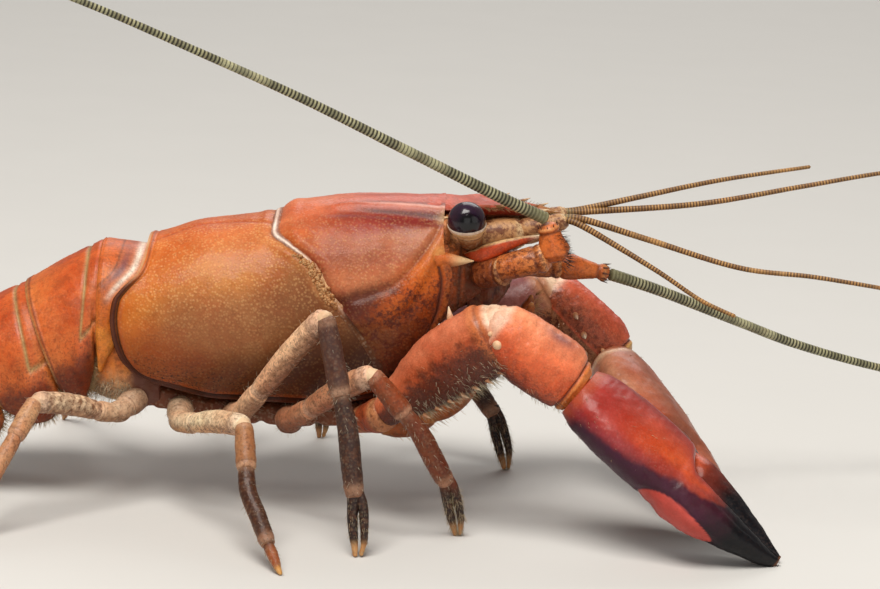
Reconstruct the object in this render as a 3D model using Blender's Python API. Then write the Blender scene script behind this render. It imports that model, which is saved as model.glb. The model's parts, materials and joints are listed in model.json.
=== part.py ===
"""Life-size display model of a freshwater crayfish, standing with its claws lowered in front of it.

Lengths are in millimetres until a mesh is made. x runs towards the head, y to the animal's left and z up.
While the pieces are made, x = 0 is the back edge of the carapace on the midline and z = 0 is the floor.
The last step moves the whole animal so that its origin is at the bottom centre of its bounding box.
"""

import math
from collections import namedtuple

import bmesh
import bpy
from mathutils import Matrix, Vector

# Driving dimensions
MM = 0.001
GAP = 0.3                    # space kept between pieces that touch
CARAPACE_LENGTH = 45.2       # tip of the rostrum to the back edge of the carapace
ROSTRUM_LENGTH = 14.6        # the blade that stands out between the eyes
EYE_RADIUS = 2.1
ANTENNA_THICKNESS = 1.4      # at the root of the long feeler
FLAGELLUM_THICKNESS = 0.85   # at the root of the four short feelers
TIP_THICKNESS = 0.5          # of every feeler at its end
CLAW_LENGTH = 29.2           # wrist to fingertip
CLAW_WIDTH = 12.6
CLAW_DEPTH = 6.6
LEG_RADIUS = 1.2             # of a walking leg at the middle of its thigh
TELSON_LENGTH = 13.5
FOOT_RADIUS = 0.4            # of the small flat that each leg stands on
SIDES = {"R": -1.0, "L": 1.0}

# Height of the back, height of the lower edge and half width of the carapace, each against x
BACK_LINE = ((-6.0, 27.7), (0.0, 28.6), (5.5, 30.4), (13.3, 31.9), (16.2, 33.3), (20.5, 33.9), (27.5, 34.5),
             (35.5, 34.8))
LOWER_LINE = ((-6.0, 14.4), (1.5, 13.4), (9.0, 12.2), (18.0, 12.1), (26.5, 13.2), (31.0, 16.4), (35.5, 21.9))
HALF_WIDTH = ((-6.0, 8.8), (0.0, 9.9), (8.0, 10.8), (16.0, 10.6), (24.0, 10.1), (30.0, 9.1), (35.5, 6.9))

# Where the carapace ends at the back, is parted by the cervical groove and ends at the front, as x
# against height in the section: 0 at the lower edge and 1 on the back
REAR_EDGE = ((0.0, 1.6), (0.07, -0.8), (0.2, -2.3), (0.35, -3.0), (0.5, -3.3), (0.62, -3.1), (0.71, -2.2),
             (0.82, -0.6), (0.91, -0.15), (1.0, 0.0))
CERVICAL_GROOVE = ((0.0, 27.0), (0.15, 26.3), (0.28, 25.1), (0.4, 23.5), (0.53, 21.3), (0.61, 20.0), (0.7, 19.0),
                   (0.76, 17.8), (0.85, 15.4), (0.94, 13.8), (1.0, 13.9))
FRONT_EDGE = ((0.0, 29.4), (0.15, 31.2), (0.34, 33.3), (0.51, 33.6), (0.62, 33.2), (0.72, 32.6), (0.86, 32.4),
              (1.0, 32.5))
WIDEST_HEIGHT = 0.42         # share of the section's height at which the carapace is widest
TUCK_ANGLE = math.radians(44)   # how far its sides curl in below that
STERNUM_SIDE = 5.8           # half width of the plate that carries the legs
HIP_DROP = 2.2               # how far below the lower edge of the carapace the legs start
RECESS_SHARE = 0.9           # width of the hollow at the back, as a share of the shell
RECESS_X = 2.2               # how far in that hollow ends
EPISTOME_SIDE = 4.4          # half width of the front wall of the head

# Tail: each row is the back edge of one ring of the abdomen
Edge = namedtuple("Edge", "x top tilt height half_width")
TAIL_EDGES = (
    Edge(-5.2, 27.8, 2, 13.9, 8.5),
    Edge(-13.5, 22.7, 26, 14.2, 8.9),
    Edge(-20.4, 18.5, 33, 13.0, 8.5),
    Edge(-26.4, 14.2, 37, 11.2, 7.9),
    Edge(-31.5, 10.4, 34, 9.0, 7.1),
    Edge(-36.0, 7.5, 20, 6.0, 6.0),
)

# Walking legs 2 to 5 of the right side as (x, distance from the midline, height). The left ones are
# the same, moved along by their stride.
Leg = namedtuple("Leg", "hip_x thigh knee wrist ankle foot pincer left_stride size")
LEGS = {
    2: Leg(16.5, (16.8, 9.6, 10.7), (25.6, 17.4, 18.1), (30.9, 17.5, 12.2), (34.1, 15.9, 6.3), (35.4, 14.6, 0),
           True, 5.5, 1.06),
    3: Leg(10.5, (11.2, 10.0, 11.0), (20.4, 19.2, 24.6), (23.4, 21.8, 13.1), (24.5, 23.7, 6.4), (24.9, 24.9, 0),
           True, -6.0, 1.06),
    4: Leg(4.5, (4.8, 9.8, 9.8), (12.4, 21.2, 12.8), (13.3, 25.8, 7.2), (15.9, 30.6, 2.6), (17.4, 33.0, 0),
           False, -9.0, 1.0),
    5: Leg(-0.2, (-2.2, 9.6, 10.4), (-10.2, 17.4, 13.2), (-12.6, 21.5, 8.6), (-15.5, 25.4, 3.0), (-16.8, 27.2, 0),
           False, 5.0, 0.96),
}
# How much of its stride each joint of a left leg is moved by
STRIDE_SHARE = {"thigh": 0.0, "knee": 0.35, "wrist": 0.7, "ankle": 0.95, "foot": 1.0}
SWIMMERET_LENGTH = 5.6       # less half a millimetre for each ring further back
PARTS = "crayfish"


def slope(a, b):
    """Slope of the line through two (x, value) pairs."""
    return (b[1] - a[1]) / (b[0] - a[0])


def smooth(table, x):
    """Value at x of the smooth curve through a table of (x, value) pairs in rising order."""
    if x <= table[0][0]:
        return table[0][1]
    if x >= table[-1][0]:
        return table[-1][1]
    i = max(k for k in range(len(table) - 1) if table[k][0] <= x)
    (x0, y0), (x1, y1) = table[i], table[i + 1]
    here = slope(table[i], table[i + 1])
    before = slope(table[i - 1], table[i]) if i else here
    after = slope(table[i + 1], table[i + 2]) if i + 2 < len(table) else here
    m0 = 0.0 if before * here <= 0 else 2 * before * here / (before + here)
    m1 = 0.0 if after * here <= 0 else 2 * after * here / (after + here)
    t = (x - x0) / (x1 - x0)
    width = x1 - x0
    return (y0 * (2 * t**3 - 3 * t**2 + 1) + y1 * (3 * t**2 - 2 * t**3)
            + m0 * width * (t**3 - 2 * t**2 + t) + m1 * width * (t**3 - t**2))


def add_loft(bm, rings, start=None, end=None):
    """Closes a skin through rings with equally many points, with a fan to a point at each end."""
    rows = [[bm.verts.new(p) for p in ring] for ring in rings]
    count = len(rows[0])
    for a, b in zip(rows, rows[1:]):
        for i in range(count):
            j = (i + 1) % count
            bm.faces.new((a[i], a[j], b[j]))
            bm.faces.new((a[i], b[j], b[i]))
    for row, tip in ((rows[0], start), (rows[-1], end)):
        middle = bm.verts.new(tip or sum((v.co for v in row), Vector()) / count)
        for i in range(count):
            bm.faces.new((row[i], row[(i + 1) % count], middle))


def across(direction, up=Vector((0, 0, 1))):
    """Side and top unit vectors of a section that a limb running along direction has."""
    side = direction.cross(up)
    if side.length < 1e-4:
        side = Vector((0, 1, 0))
    side.normalize()
    return side, side.cross(direction).normalized()


def squared(value, power):
    """Sine or cosine raised to a power below 1, which turns an oval into a rounded rectangle."""
    return math.copysign(abs(value) ** power, value)


def oval(centre, side, top, half_side, half_top, count):
    """Ring of points round an oval."""
    angles = (2 * math.pi * i / count for i in range(count))
    return [centre + side * half_side * math.cos(a) + top * half_top * math.sin(a) for a in angles]


def tube_rings(path, radii, count, up=Vector((0, 0, 1)), flatness=1.0, level_end=False):
    """Rings along a path. A radius applies to the side and, times flatness, to the top."""
    rings = []
    for i, (point, radius) in enumerate(zip(path, radii)):
        before = path[max(i - 1, 0)]
        after = path[min(i + 1, len(path) - 1)]
        direction = (after - before).normalized()
        side, top = across(direction, up)
        if level_end and i == len(path) - 1:
            side.z = 0
            side.normalize()
            top = Vector((-side.y, side.x, 0)) * (1 if top.cross(side).dot(direction) > 0 else -1)
            if top.dot(across(direction, up)[1]) < 0:
                top.negate()
        rings.append(oval(point, side, top, radius, radius * flatness, count))
    return rings


def add_round_end(rings, outward, bulge):
    """One more ring and a pole beyond the last ring, so that the end is domed. Returns the pole."""
    centre = sum(rings[-1], Vector()) / len(rings[-1])
    rings.append([centre + (p - centre) * 0.72 + outward * bulge * 0.66 for p in rings[-1]])
    return centre + outward * bulge


def make_object(name, bm, material):
    """Object of the finished bmesh, in metres, with its faces pointing out."""
    bmesh.ops.recalc_face_normals(bm, faces=bm.faces)
    bmesh.ops.scale(bm, vec=(MM, MM, MM), verts=bm.verts)
    mesh = bpy.data.meshes.new(name)
    bm.to_mesh(mesh)
    bm.free()
    mesh.shade_smooth()
    mesh.set_sharp_from_angle(angle=math.radians(40))
    mesh.materials.append(material)
    obj = bpy.data.objects.new(name, mesh)
    bpy.data.collections[PARTS].objects.link(obj)
    return obj


def largest_shell(bm):
    """Keeps the biggest connected surface of a mesh and deletes every other one."""
    unseen = set(bm.verts)
    shells = []
    while unseen:
        shell, front = set(), [unseen.pop()]
        while front:
            vert = front.pop()
            shell.add(vert)
            for edge in vert.link_edges:
                other = edge.other_vert(vert)
                if other in unseen:
                    unseen.discard(other)
                    front.append(other)
        shells.append(shell)
    keep = max(shells, key=len)
    bmesh.ops.delete(bm, geom=[v for v in bm.verts if v not in keep], context="VERTS")


def fuse(obj, pieces):
    """Joins closed mesh objects to obj with one Boolean union and removes them."""
    joined = bpy.data.collections.new("joined_to_" + obj.name)
    bpy.context.scene.collection.children.link(joined)
    for piece in pieces:
        bpy.data.collections[PARTS].objects.unlink(piece)
        joined.objects.link(piece)
    union = obj.modifiers.new("union", "BOOLEAN")
    union.operation = "UNION"
    union.operand_type = "COLLECTION"
    union.collection = joined
    union.solver = "MANIFOLD"
    graph = bpy.context.evaluated_depsgraph_get()
    mesh = bpy.data.meshes.new_from_object(obj.evaluated_get(graph))
    obj.modifiers.remove(union)
    bm = bmesh.new()
    bm.from_mesh(mesh)
    bmesh.ops.remove_doubles(bm, verts=bm.verts, dist=0.002 * MM)
    bmesh.ops.dissolve_degenerate(bm, edges=bm.edges, dist=0.002 * MM)
    bmesh.ops.triangulate(bm, faces=bm.faces)
    largest_shell(bm)
    bm.to_mesh(obj.data)
    bm.free()
    for piece in list(joined.objects):
        bpy.data.objects.remove(piece)
    bpy.data.collections.remove(joined)
    return obj


def cut_off(bm, point, outward):
    """Cuts a closed mesh at a plane, drops what lies outward of it and closes the cut."""
    geometry = bm.verts[:] + bm.edges[:] + bm.faces[:]
    cut = bmesh.ops.bisect_plane(bm, geom=geometry, plane_co=point, plane_no=outward, clear_outer=True)
    edges = [e for e in cut["geom_cut"] if isinstance(e, bmesh.types.BMEdge)]
    bmesh.ops.holes_fill(bm, edges=edges, sides=0)
    bmesh.ops.triangulate(bm, faces=[f for f in bm.faces if len(f.verts) > 3])


def spine(base, tip, radius, material):
    """A pointed spine of five sides. Its root lies inside what carries it."""
    bm = bmesh.new()
    direction = (tip - base).normalized()
    side, top = across(direction)
    add_loft(bm, [oval(base, side, top, radius, radius, 5)], end=tip)
    bmesh.ops.remove_doubles(bm, verts=bm.verts, dist=1e-6)
    return make_object("spine", bm, material)


def on_side(sign, x, reach, z):
    """Point on one side of the body, where reach is the distance from the midline."""
    return Vector((x, sign * reach, z))


# Shell of the head and chest

def shell_section():
    """Half section of the carapace as (half width, height) shares, from the back to the lower edge."""
    upper = [math.radians(a) for a in (0, 11, 22, 34, 46, 60, 75, 90)]
    lower = [TUCK_ANGLE * k / 4 for k in (1, 2, 3, 4)]
    points = [(math.sin(a) ** 0.94, WIDEST_HEIGHT + (1 - WIDEST_HEIGHT) * math.cos(a)) for a in upper]
    points[-1] = (1.0, WIDEST_HEIGHT)
    points += [(math.cos(a), WIDEST_HEIGHT * (1 - math.sin(a) / math.sin(TUCK_ANGLE))) for a in lower]
    return points


def shell_point(x, share_y, share_z, sign=1.0):
    """Point of the carapace at x."""
    low, top = smooth(LOWER_LINE, x), smooth(BACK_LINE, x)
    return Vector((x, sign * share_y * smooth(HALF_WIDTH, x), low + share_z * (top - low)))


def shell_ring(x_of_height, swell=1.0):
    """Ring round the carapace whose x changes with the height in the section."""
    half = shell_section()
    ring = [shell_point(x_of_height(z), y * swell, z, -1.0) for y, z in half]
    belly = shell_point(x_of_height(0.0), 0.0, 0.0)
    left = [shell_point(x_of_height(z), y * swell, z) for y, z in reversed(half[1:])]
    return ring + [belly] + left


def between(table_a, table_b, share, shift=0.0):
    """Function of height that runs a share of the way from one edge of the carapace to another."""
    return lambda z: smooth(table_a, z) * (1 - share) + smooth(table_b, z) * share + shift


def shrink(ring, share, x):
    """The ring made smaller about its middle and laid in the plane at x."""
    middle = sum(ring, Vector()) / len(ring)
    return [Vector((x, *(middle + (p - middle) * share).yz)) for p in ring]


def build_thorax(material):
    """Back part of the carapace, hollowed at its end where the first ring of the tail goes in."""
    steps = ((0.0, 0.965), (0.06, 1.0), (0.16, 1.0), (0.3, 1.0), (0.45, 1.0), (0.6, 1.0), (0.75, 1.0), (0.88, 1.0),
             (0.97, 1.0), (1.0, 0.97))
    rings = [shell_ring(between(REAR_EDGE, CERVICAL_GROOVE, share), swell) for share, swell in steps]
    rings.insert(0, shrink(rings[0], RECESS_SHARE, RECESS_X))
    bm = bmesh.new()
    add_loft(bm, rings)
    return make_object("carapace_thorax", bm, material)


def rostrum(material):
    """Blade between the eyes, wide at its root, with its point a little turned up."""
    start = CARAPACE_LENGTH - ROSTRUM_LENGTH
    rows = ((-0.3, 2.9, 31.8, 33.2), (-0.1, 3.5, 32.3, 33.9), (0.07, 3.8, 32.8, 34.4), (0.28, 3.7, 33.2, 34.95),
            (0.55, 3.0, 33.1, 34.8), (0.8, 2.0, 33.1, 34.3), (0.93, 1.1, 33.1, 33.9))
    bm = bmesh.new()
    rings = []
    for share, half, low, top in rows:
        x = start + share * ROSTRUM_LENGTH
        outline = ((-1, top), (-0.6, top - 0.35), (0, top - 0.5), (0.6, top - 0.35), (1, top), (0.8, low + 0.3),
                   (0, low), (-0.8, low + 0.3))
        rings.append([Vector((x, half * y, z)) for y, z in outline])
    add_loft(bm, rings, end=Vector((start + ROSTRUM_LENGTH, 0, 33.6)))
    return make_object("rostrum", bm, material)


def build_head(material):
    """Front part of the carapace with the rostrum and the spines round the eyes."""
    steps = ((0.0, 0.97), (0.05, 1.0), (0.2, 1.0), (0.4, 1.0), (0.6, 1.0), (0.8, 1.0), (0.93, 1.0), (1.0, 1.0))
    rings = [shell_ring(between(CERVICAL_GROOVE, FRONT_EDGE, share, GAP * (1 - share)), swell)
             for share, swell in steps]
    bm = bmesh.new()
    add_loft(bm, rings, end=Vector((34.3, 0, 27.6)))
    head = make_object("carapace_head", bm, material)
    pieces = [rostrum(material)]
    for sign in SIDES.values():
        for x, half, z in ((38.4, 3.2, 34.5), (40.7, 2.5, 34.2), (42.7, 1.6, 33.9)):
            root = on_side(sign, x - 0.6, half - 0.6, z)
            pieces.append(spine(root, on_side(sign, x + 1.1, half + 0.35, z + 0.5), 0.4, material))
        pieces.append(spine(on_side(sign, 29.8, 4.3, 33.2), on_side(sign, 32.7, 4.7, 34.5), 0.6, material))
        pieces.append(spine(on_side(sign, 32.6, 6.8, 29.4), on_side(sign, 35.3, 7.6, 29.5), 0.6, material))
    return fuse(head, pieces)


def slab_ring(x, half, low, top):
    """Ring round a body that is flat above and rounded below."""
    return [Vector((x, y * half, low + z * (top - low)))
            for y, z in ((-1, 1), (-1, 0.35), (-0.72, 0.0), (0.72, 0.0), (1, 0.35), (1, 1))]


def build_sternum(material):
    """Narrow plate under the chest that carries the legs."""
    bm = bmesh.new()
    rings = []
    for x in (-1.5, 2.0, 7.0, 12.0, 17.0, 22.0, 26.4):
        low = smooth(LOWER_LINE, x)
        rings.append(slab_ring(x, STERNUM_SIDE, low - 3.6, low - 0.36))
    add_loft(bm, rings)
    return make_object("sternum", bm, material)


def build_mouthparts(material):
    """Jaws and their feelers as one body that fills the underside of the head."""
    rows = ((26.8, 3.6, 10.8, 12.7), (29.0, 4.2, 11.4, 14.3), (32.0, 4.4, 13.6, 16.9), (35.2, 4.0, 17.0, 20.9),
            (37.4, 3.2, 19.7, 22.7), (38.8, 2.0, 21.3, 22.8))
    bm = bmesh.new()
    add_loft(bm, [slab_ring(*row) for row in rows])
    return make_object("mouthparts", bm, material)


def build_epistome(material):
    """Front wall of the head, which carries the eyes and both pairs of feelers."""
    rows = ((34.7, 4.4, 23.0, 31.8), (36.4, 4.2, 23.2, 31.8), (37.6, 3.8, 23.5, 31.4), (38.2, 2.9, 24.4, 30.6))
    bm = bmesh.new()
    rings = []
    for x, half, low, top in rows:
        middle, tall = (low + top) / 2, (top - low) / 2
        angles = [2 * math.pi * (k + 0.5) / 12 for k in range(12)]
        rings.append([Vector((x, squared(math.cos(a), 0.7) * half, middle + squared(math.sin(a), 0.7) * tall))
                      for a in angles])
    add_loft(bm, rings)
    return make_object("epistome", bm, material)


# Eyes and feelers

def build_eye(side, sign, shiny, pale):
    """Domed eye and the stalk below it, which meet at a flat face."""
    root = on_side(sign, 35.7, 4.0, 29.9)
    centre = on_side(sign, 34.9, 6.5, 33.2)
    axis = Vector((-0.08, sign * 0.3, 1.0)).normalized()
    seat = centre - axis * EYE_RADIUS * 0.4
    bm = bmesh.new()
    bmesh.ops.create_uvsphere(bm, u_segments=14, v_segments=9, radius=EYE_RADIUS)
    bmesh.ops.transform(bm, matrix=axis.to_track_quat("Z", "Y").to_matrix().to_4x4(), verts=bm.verts)
    bmesh.ops.translate(bm, vec=centre, verts=bm.verts)
    cut_off(bm, seat, -axis)
    make_object("eye_" + side, bm, shiny)

    seat_radius = EYE_RADIUS * 0.9
    side_axis, top_axis = across(axis)
    stalk = ((root, 1.1), (root.lerp(seat, 0.45), 1.3), (seat - axis * 0.8, seat_radius),
             (seat - axis * GAP, seat_radius))
    rings = [oval(point, side_axis, top_axis, radius, radius, 12) for point, radius in stalk]
    bm = bmesh.new()
    add_loft(bm, rings)
    cut_off(bm, on_side(sign, 0, EPISTOME_SIDE + GAP, 0), Vector((0, -sign, 0)))
    make_object("eyestalk_" + side, bm, pale)


WHIP_SPLIT = 0.5             # share of a long feeler's length at which its outer part starts
WHIP_GAP = 0.004             # share of its length that is left open there

# Path points of the long feelers past their root, right one swept back and left one reaching forward
ANTENNA_PATHS = {
    "R": ((43.4, -7.45, 34.1), (38.3, -9.6, 36.6), (27.4, -14.0, 42.2), (16.7, -18.0, 47.6), (6.3, -22.0, 52.4),
          (-6.0, -26.0, 57.7), (-19.0, -29.4, 62.2), (-32.0, -32.4, 65.6)),
    "L": ((51.5, 7.1, 25.35), (57.5, 9.5, 23.2), (67.0, 14.0, 19.1), (74.4, 17.0, 16.1), (84.4, 20.6, 13.1),
          (98.0, 26.0, 9.8), (112.0, 31.6, 7.2), (126.0, 37.0, 5.6)),
}
# Segments of their root, each as start, end and the radius at both
PEDUNCLES = {
    "R": (((36.6, -4.2, 26.9), (39.4, -6.9, 28.0), 1.75, 1.6), ((38.4, -6.7, 28.0), (43.8, -7.1, 29.8), 1.4, 1.55),
          ((44.7, -7.1, 29.9), (43.7, -7.3, 33.3), 1.75, 1.15)),
    "L": (((36.6, 4.2, 26.6), (40.8, 6.5, 26.2), 1.75, 1.6), ((40.2, 6.5, 26.2), (46.0, 6.7, 26.2), 1.35, 1.5),
          ((45.6, 6.7, 26.2), (51.1, 7.0, 25.5), 1.5, 0.9)),
}


def feeler(name, points, thick, thin, sides, steps, material, share=(0.0, 1.0)):
    """Tapered feeler along a smooth curve through points, or only a share of its length."""
    curve = [Vector(p) for p in points]
    path, radii = [], []
    for k in range(steps + 1):
        s = share[0] + (share[1] - share[0]) * k / steps
        u = s * (len(curve) - 1)
        i = min(int(u), len(curve) - 2)
        t = u - i
        p0, p1, p2, p3 = (curve[max(0, min(len(curve) - 1, j))] for j in (i - 1, i, i + 1, i + 2))
        path.append(0.5 * (2 * p1 + (p2 - p0) * t + (2 * p0 - 5 * p1 + 4 * p2 - p3) * t**2
                           + (3 * p1 - p0 - 3 * p2 + p3) * t**3))
        radii.append(0.5 * (thick + (thin - thick) * s))
    bm = bmesh.new()
    add_loft(bm, tube_rings(path, radii, sides))
    return make_object(name, bm, material)


def build_antenna(side, material, ringed):
    """Long feeler: three stout segments at its root, then the thin whip in two lengths."""
    pieces = []
    for start, end, r0, r1 in PEDUNCLES[side]:
        start, end = Vector(start), Vector(end)
        outward = (end - start).normalized()
        path = [start, start.lerp(end, 0.15), start.lerp(end, 0.8), end]
        bm = bmesh.new()
        add_loft(bm, tube_rings(path, (r0 * 0.8, r0, r1, r1 * 0.78), 10))
        cut_off(bm, on_side(SIDES[side], 0, EPISTOME_SIDE + GAP, 0), Vector((0, -SIDES[side], 0)))
        pieces.append(make_object("peduncle", bm, material))
    base = pieces.pop(0)
    base.name = "antenna_base_" + side
    fuse(base, pieces)
    for name, steps, share in (("inner", 14, (0.0, WHIP_SPLIT)), ("outer", 12, (WHIP_SPLIT + WHIP_GAP, 1.0))):
        feeler(f"antenna_whip_{name}_{side}", ANTENNA_PATHS[side], ANTENNA_THICKNESS, TIP_THICKNESS, 8, steps, ringed,
               share)


# Short feelers: outer and inner whip of each side
ANTENNULE_WHIPS = {
    "R": (((45.2, -2.1, 33.1), (47.6, -2.5, 33.3), (55.1, -3.3, 31.5), (65.0, -4.6, 29.2), (73.7, -5.8, 28.8),
           (85.7, -7.0, 27.6)),
          ((45.2, -2.1, 33.1), (47.0, -2.9, 32.9), (50.7, -4.0, 31.2), (56.2, -6.0, 28.5), (60.7, -7.4, 26.0),
           (64.5, -8.4, 24.6))),
    "L": (((45.2, 2.1, 33.1), (47.8, 2.6, 33.5), (54.0, 3.2, 35.1), (62.9, 4.6, 37.2), (72.9, 6.0, 39.0)),
          ((45.2, 2.1, 33.1), (48.2, 2.3, 33.3), (60.7, 3.0, 34.7), (71.8, 3.6, 37.1), (80.8, 4.4, 39.0),
           (90.0, 5.4, 40.4))),
}


def build_antennule(side, sign, material, ringed):
    """Short feeler: a stout root of three segments that ends in two thin whips."""
    path = [on_side(sign, 38.0, 1.75, 29.4), on_side(sign, 40.0, 1.8, 30.6), on_side(sign, 43.2, 1.95, 31.8),
            on_side(sign, 45.9, 2.15, 33.0)]
    bm = bmesh.new()
    add_loft(bm, tube_rings(path, (1.15, 1.35, 1.15, 0.85), 10))
    cut_off(bm, Vector((38.2 + GAP, 0, 0)), Vector((-1, 0, 0)))
    root = make_object("antennule_" + side, bm, material)
    whips = [feeler("whip", points, FLAGELLUM_THICKNESS, TIP_THICKNESS, 6, 12, ringed)
             for points in ANTENNULE_WHIPS[side]]
    return fuse(root, whips)


def build_antennal_scale(side, sign, material):
    """Flat blade beside the root of the antenna, thick along its outer edge and ending in a spine."""
    rows = ((37.4, 5.3, 0.7, 1.4, 29.9), (38.6, 5.3, 0.95, 1.3, 30.4), (40.2, 5.2, 0.9, 1.1, 31.0),
            (41.8, 5.1, 0.6, 0.9, 31.4))
    rings = []
    for x, middle, half, thick, z in rows:
        outline = ((1, 0), (0.8, 0.5), (-0.4, 0.3), (-1, 0.1), (-1, -0.12), (-0.4, -0.3), (0.8, -0.5))
        rings.append([on_side(sign, x, middle + half * y, z + thick * h) for y, h in outline])
    bm = bmesh.new()
    add_loft(bm, rings, end=on_side(sign, 43.2, 5.3, 31.8))
    make_object("antennal_scale_" + side, bm, material)


def build_maxilliped(side, sign, material):
    """Outermost mouth leg, folded forward under the jaws."""
    path = [on_side(sign, 26.9, 2.6, 8.6), on_side(sign, 29.5, 2.7, 8.8), on_side(sign, 34.0, 2.8, 11.8),
            on_side(sign, 38.4, 2.8, 17.2), on_side(sign, 41.2, 2.5, 20.4), on_side(sign, 42.6, 2.0, 23.4)]
    bm = bmesh.new()
    add_loft(bm, tube_rings(path, (1.3, 1.6, 1.55, 1.35, 0.95, 0.45), 8))
    make_object("maxilliped_" + side, bm, material)


# Legs

def leg_points(number, side, sign):
    """Joints of one leg from hip to foot."""
    leg = LEGS[number]
    stride = leg.left_stride if side == "L" else 0.0
    hip = on_side(sign, leg.hip_x, STERNUM_SIDE + GAP, smooth(LOWER_LINE, leg.hip_x) - HIP_DROP)
    joints = [on_side(sign, x + stride * STRIDE_SHARE[name], reach, z)
              for name, (x, reach, z) in ((name, getattr(leg, name)) for name in STRIDE_SHARE)]
    return [hip] + joints


def hip_ring(ring, following, hip, radius):
    """Upright ring at the hip, turned and mirrored to match the points of the ring that follows it."""
    flat = oval(hip, Vector((1, 0, 0)), Vector((0, 0, 1)), radius, radius, len(ring))
    centre = sum(following, Vector()) / len(following)
    if (flat[2] - hip).dot(following[2] - centre) < 0:
        flat = oval(hip, Vector((-1, 0, 0)), Vector((0, 0, -1)), radius, radius, len(ring))
    if (flat[0] - hip).dot(following[0] - centre) < 0:
        flat = [hip + Vector((-(p - hip).x, 0, (p - hip).z)) for p in flat]
    return flat


def build_thigh(name, size, joints, bend, material):
    """Upper half of a walking leg, from the hip to the knee."""
    hip, thigh, knee = joints[:3]
    path = [hip, hip.lerp(thigh, 0.55), thigh.lerp(knee, 0.06), thigh.lerp(knee, 0.2), thigh.lerp(knee, 0.55), knee]
    radii = [r * size for r in (1.35, 1.3, 1.1, 1.18, LEG_RADIUS, 1.18)]
    rings = tube_rings(path, radii, 8)
    rings[0] = hip_ring(rings[0], rings[1], hip, radii[0])
    pole = add_round_end(rings, (knee - thigh).normalized(), 1.15 * size)
    bm = bmesh.new()
    add_loft(bm, rings, end=pole)
    cut_off(bm, knee - bend * GAP / 2, bend)
    make_object(name, bm, material)


def pincer_finger(knee, wrist, ankle, foot, up, material):
    """Second finger of a leg that ends in a small pincer."""
    apart = (knee - ankle).cross(Vector((0, 0, 1))).normalized() * 0.1 + Vector((1.0, 0, 0))
    root = ankle + (wrist - ankle).normalized() + apart * 0.35
    middle = ankle.lerp(foot, 0.45) + apart * 0.95
    tip = ankle.lerp(foot, 0.93) + apart * 0.75
    tip.z = max(tip.z, 0.35)
    bm = bmesh.new()
    add_loft(bm, tube_rings([root, ankle + apart * 0.55, middle, tip], (0.4, 0.55, 0.42, 0.2), 6, up))
    return make_object("finger", bm, material)


def build_shin(name, leg, joints, bend, material):
    """Lower half of a walking leg, from the knee to the flat that it stands on."""
    knee, wrist, ankle, foot = joints[2:]
    size = leg.size
    up = Vector((1, 0, 0))
    path = [knee, wrist.lerp(knee, 0.3), wrist, ankle.lerp(wrist, 0.45), ankle, foot.lerp(ankle, 0.5), foot]
    radii = [1.16 * size, 1.06 * size, 0.84 * size, 0.98 * size, (1.0 if leg.pincer else 0.72) * size,
             0.5 if leg.pincer else 0.62, FOOT_RADIUS]
    rings = tube_rings(path, radii, 8, up, level_end=True)
    rings.reverse()
    pole = add_round_end(rings, (knee - wrist).normalized(), 1.1 * size)
    bm = bmesh.new()
    add_loft(bm, rings, end=pole)
    cut_off(bm, knee + bend * GAP / 2, -bend)
    shin = make_object(name, bm, material)
    if leg.pincer:
        fuse(shin, [pincer_finger(knee, wrist, ankle, foot, up, material)])


def build_leg(number, side, sign, material):
    """Walking leg in two nodes that meet at the knee."""
    leg = LEGS[number]
    joints = leg_points(number, side, sign)
    thigh, knee, wrist = joints[1:4]
    bend = ((knee - thigh).normalized() + (wrist - knee).normalized()).normalized()
    build_thigh(f"leg_{number}_{side}_thigh", leg.size, joints, bend, material)
    build_shin(f"leg_{number}_{side}_shin", leg, joints, bend, material)


# Claws: positions are shoulder, start of the arm, elbow and wrist as (x, reach, height). The hand points
# down to the floor and is turned towards the midline by heading and about its own length by roll.
Claw = namedtuple("Claw", "shoulder arm elbow wrist heading roll")
CLAWS = {
    "R": Claw((24.0, 6.1, 10.1), (27.0, 9.6, 11.9), (39.2, 14.0, 22.6), (47.2, 14.4, 17.2), -12.0, -7.0),
    "L": Claw((24.0, 6.1, 10.1), (30.0, 9.6, 12.4), (45.3, 13.7, 20.8), (52.5, 12.4, 14.1), 57.0, -40.0),
}
# Outline of the claw against its length: distance of the outer and inner edge from the middle line and
# half its depth, as shares of width and depth
CLAW_OUTER = ((0.0, 0.24), (0.1, 0.4), (0.3, 0.5), (0.5, 0.51), (0.62, 0.52), (0.75, 0.42), (0.9, 0.24), (1.0, 0.06))
CLAW_INNER = ((0.0, 0.22), (0.08, 0.42), (0.25, 0.52), (0.45, 0.5), (0.65, 0.4), (0.85, 0.24), (1.0, 0.02))
CLAW_HALF_DEPTH = ((0.0, 0.36), (0.12, 0.48), (0.35, 0.5), (0.6, 0.4), (0.8, 0.25), (1.0, 0.09))
PALM_END = 0.46              # share of the claw's length at which the movable finger starts
HAND_START = 0.03            # and of both ends of the hand
CLAW_TIP = 0.985
FINGER_GAP = 0.5
THINNEST_FINGER = 0.4
FINGER_DEPTH_SHARE = 0.86    # depth of the movable finger against the fixed one


def claw_frame(side, sign):
    """Root of the hand and the directions along, outward and upward of one claw."""
    claw = CLAWS[side]
    wrist = on_side(sign, *claw.wrist)
    level = math.sqrt(CLAW_LENGTH**2 - wrist.z**2)
    heading = math.radians(claw.heading)
    along = Vector((level * math.cos(heading), -sign * level * math.sin(heading), -wrist.z)).normalized()
    outward = Vector((math.sin(heading), sign * math.cos(heading), 0))
    outward = Matrix.Rotation(math.radians(claw.roll) * sign, 3, along) @ outward
    top = along.cross(outward).normalized()
    return wrist, along, outward, (top if top.z > 0 else -top)


def finger_split(s):
    """Where the slit between the two fingers lies across the claw."""
    return -0.03 * CLAW_WIDTH * (1 - s)


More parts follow.
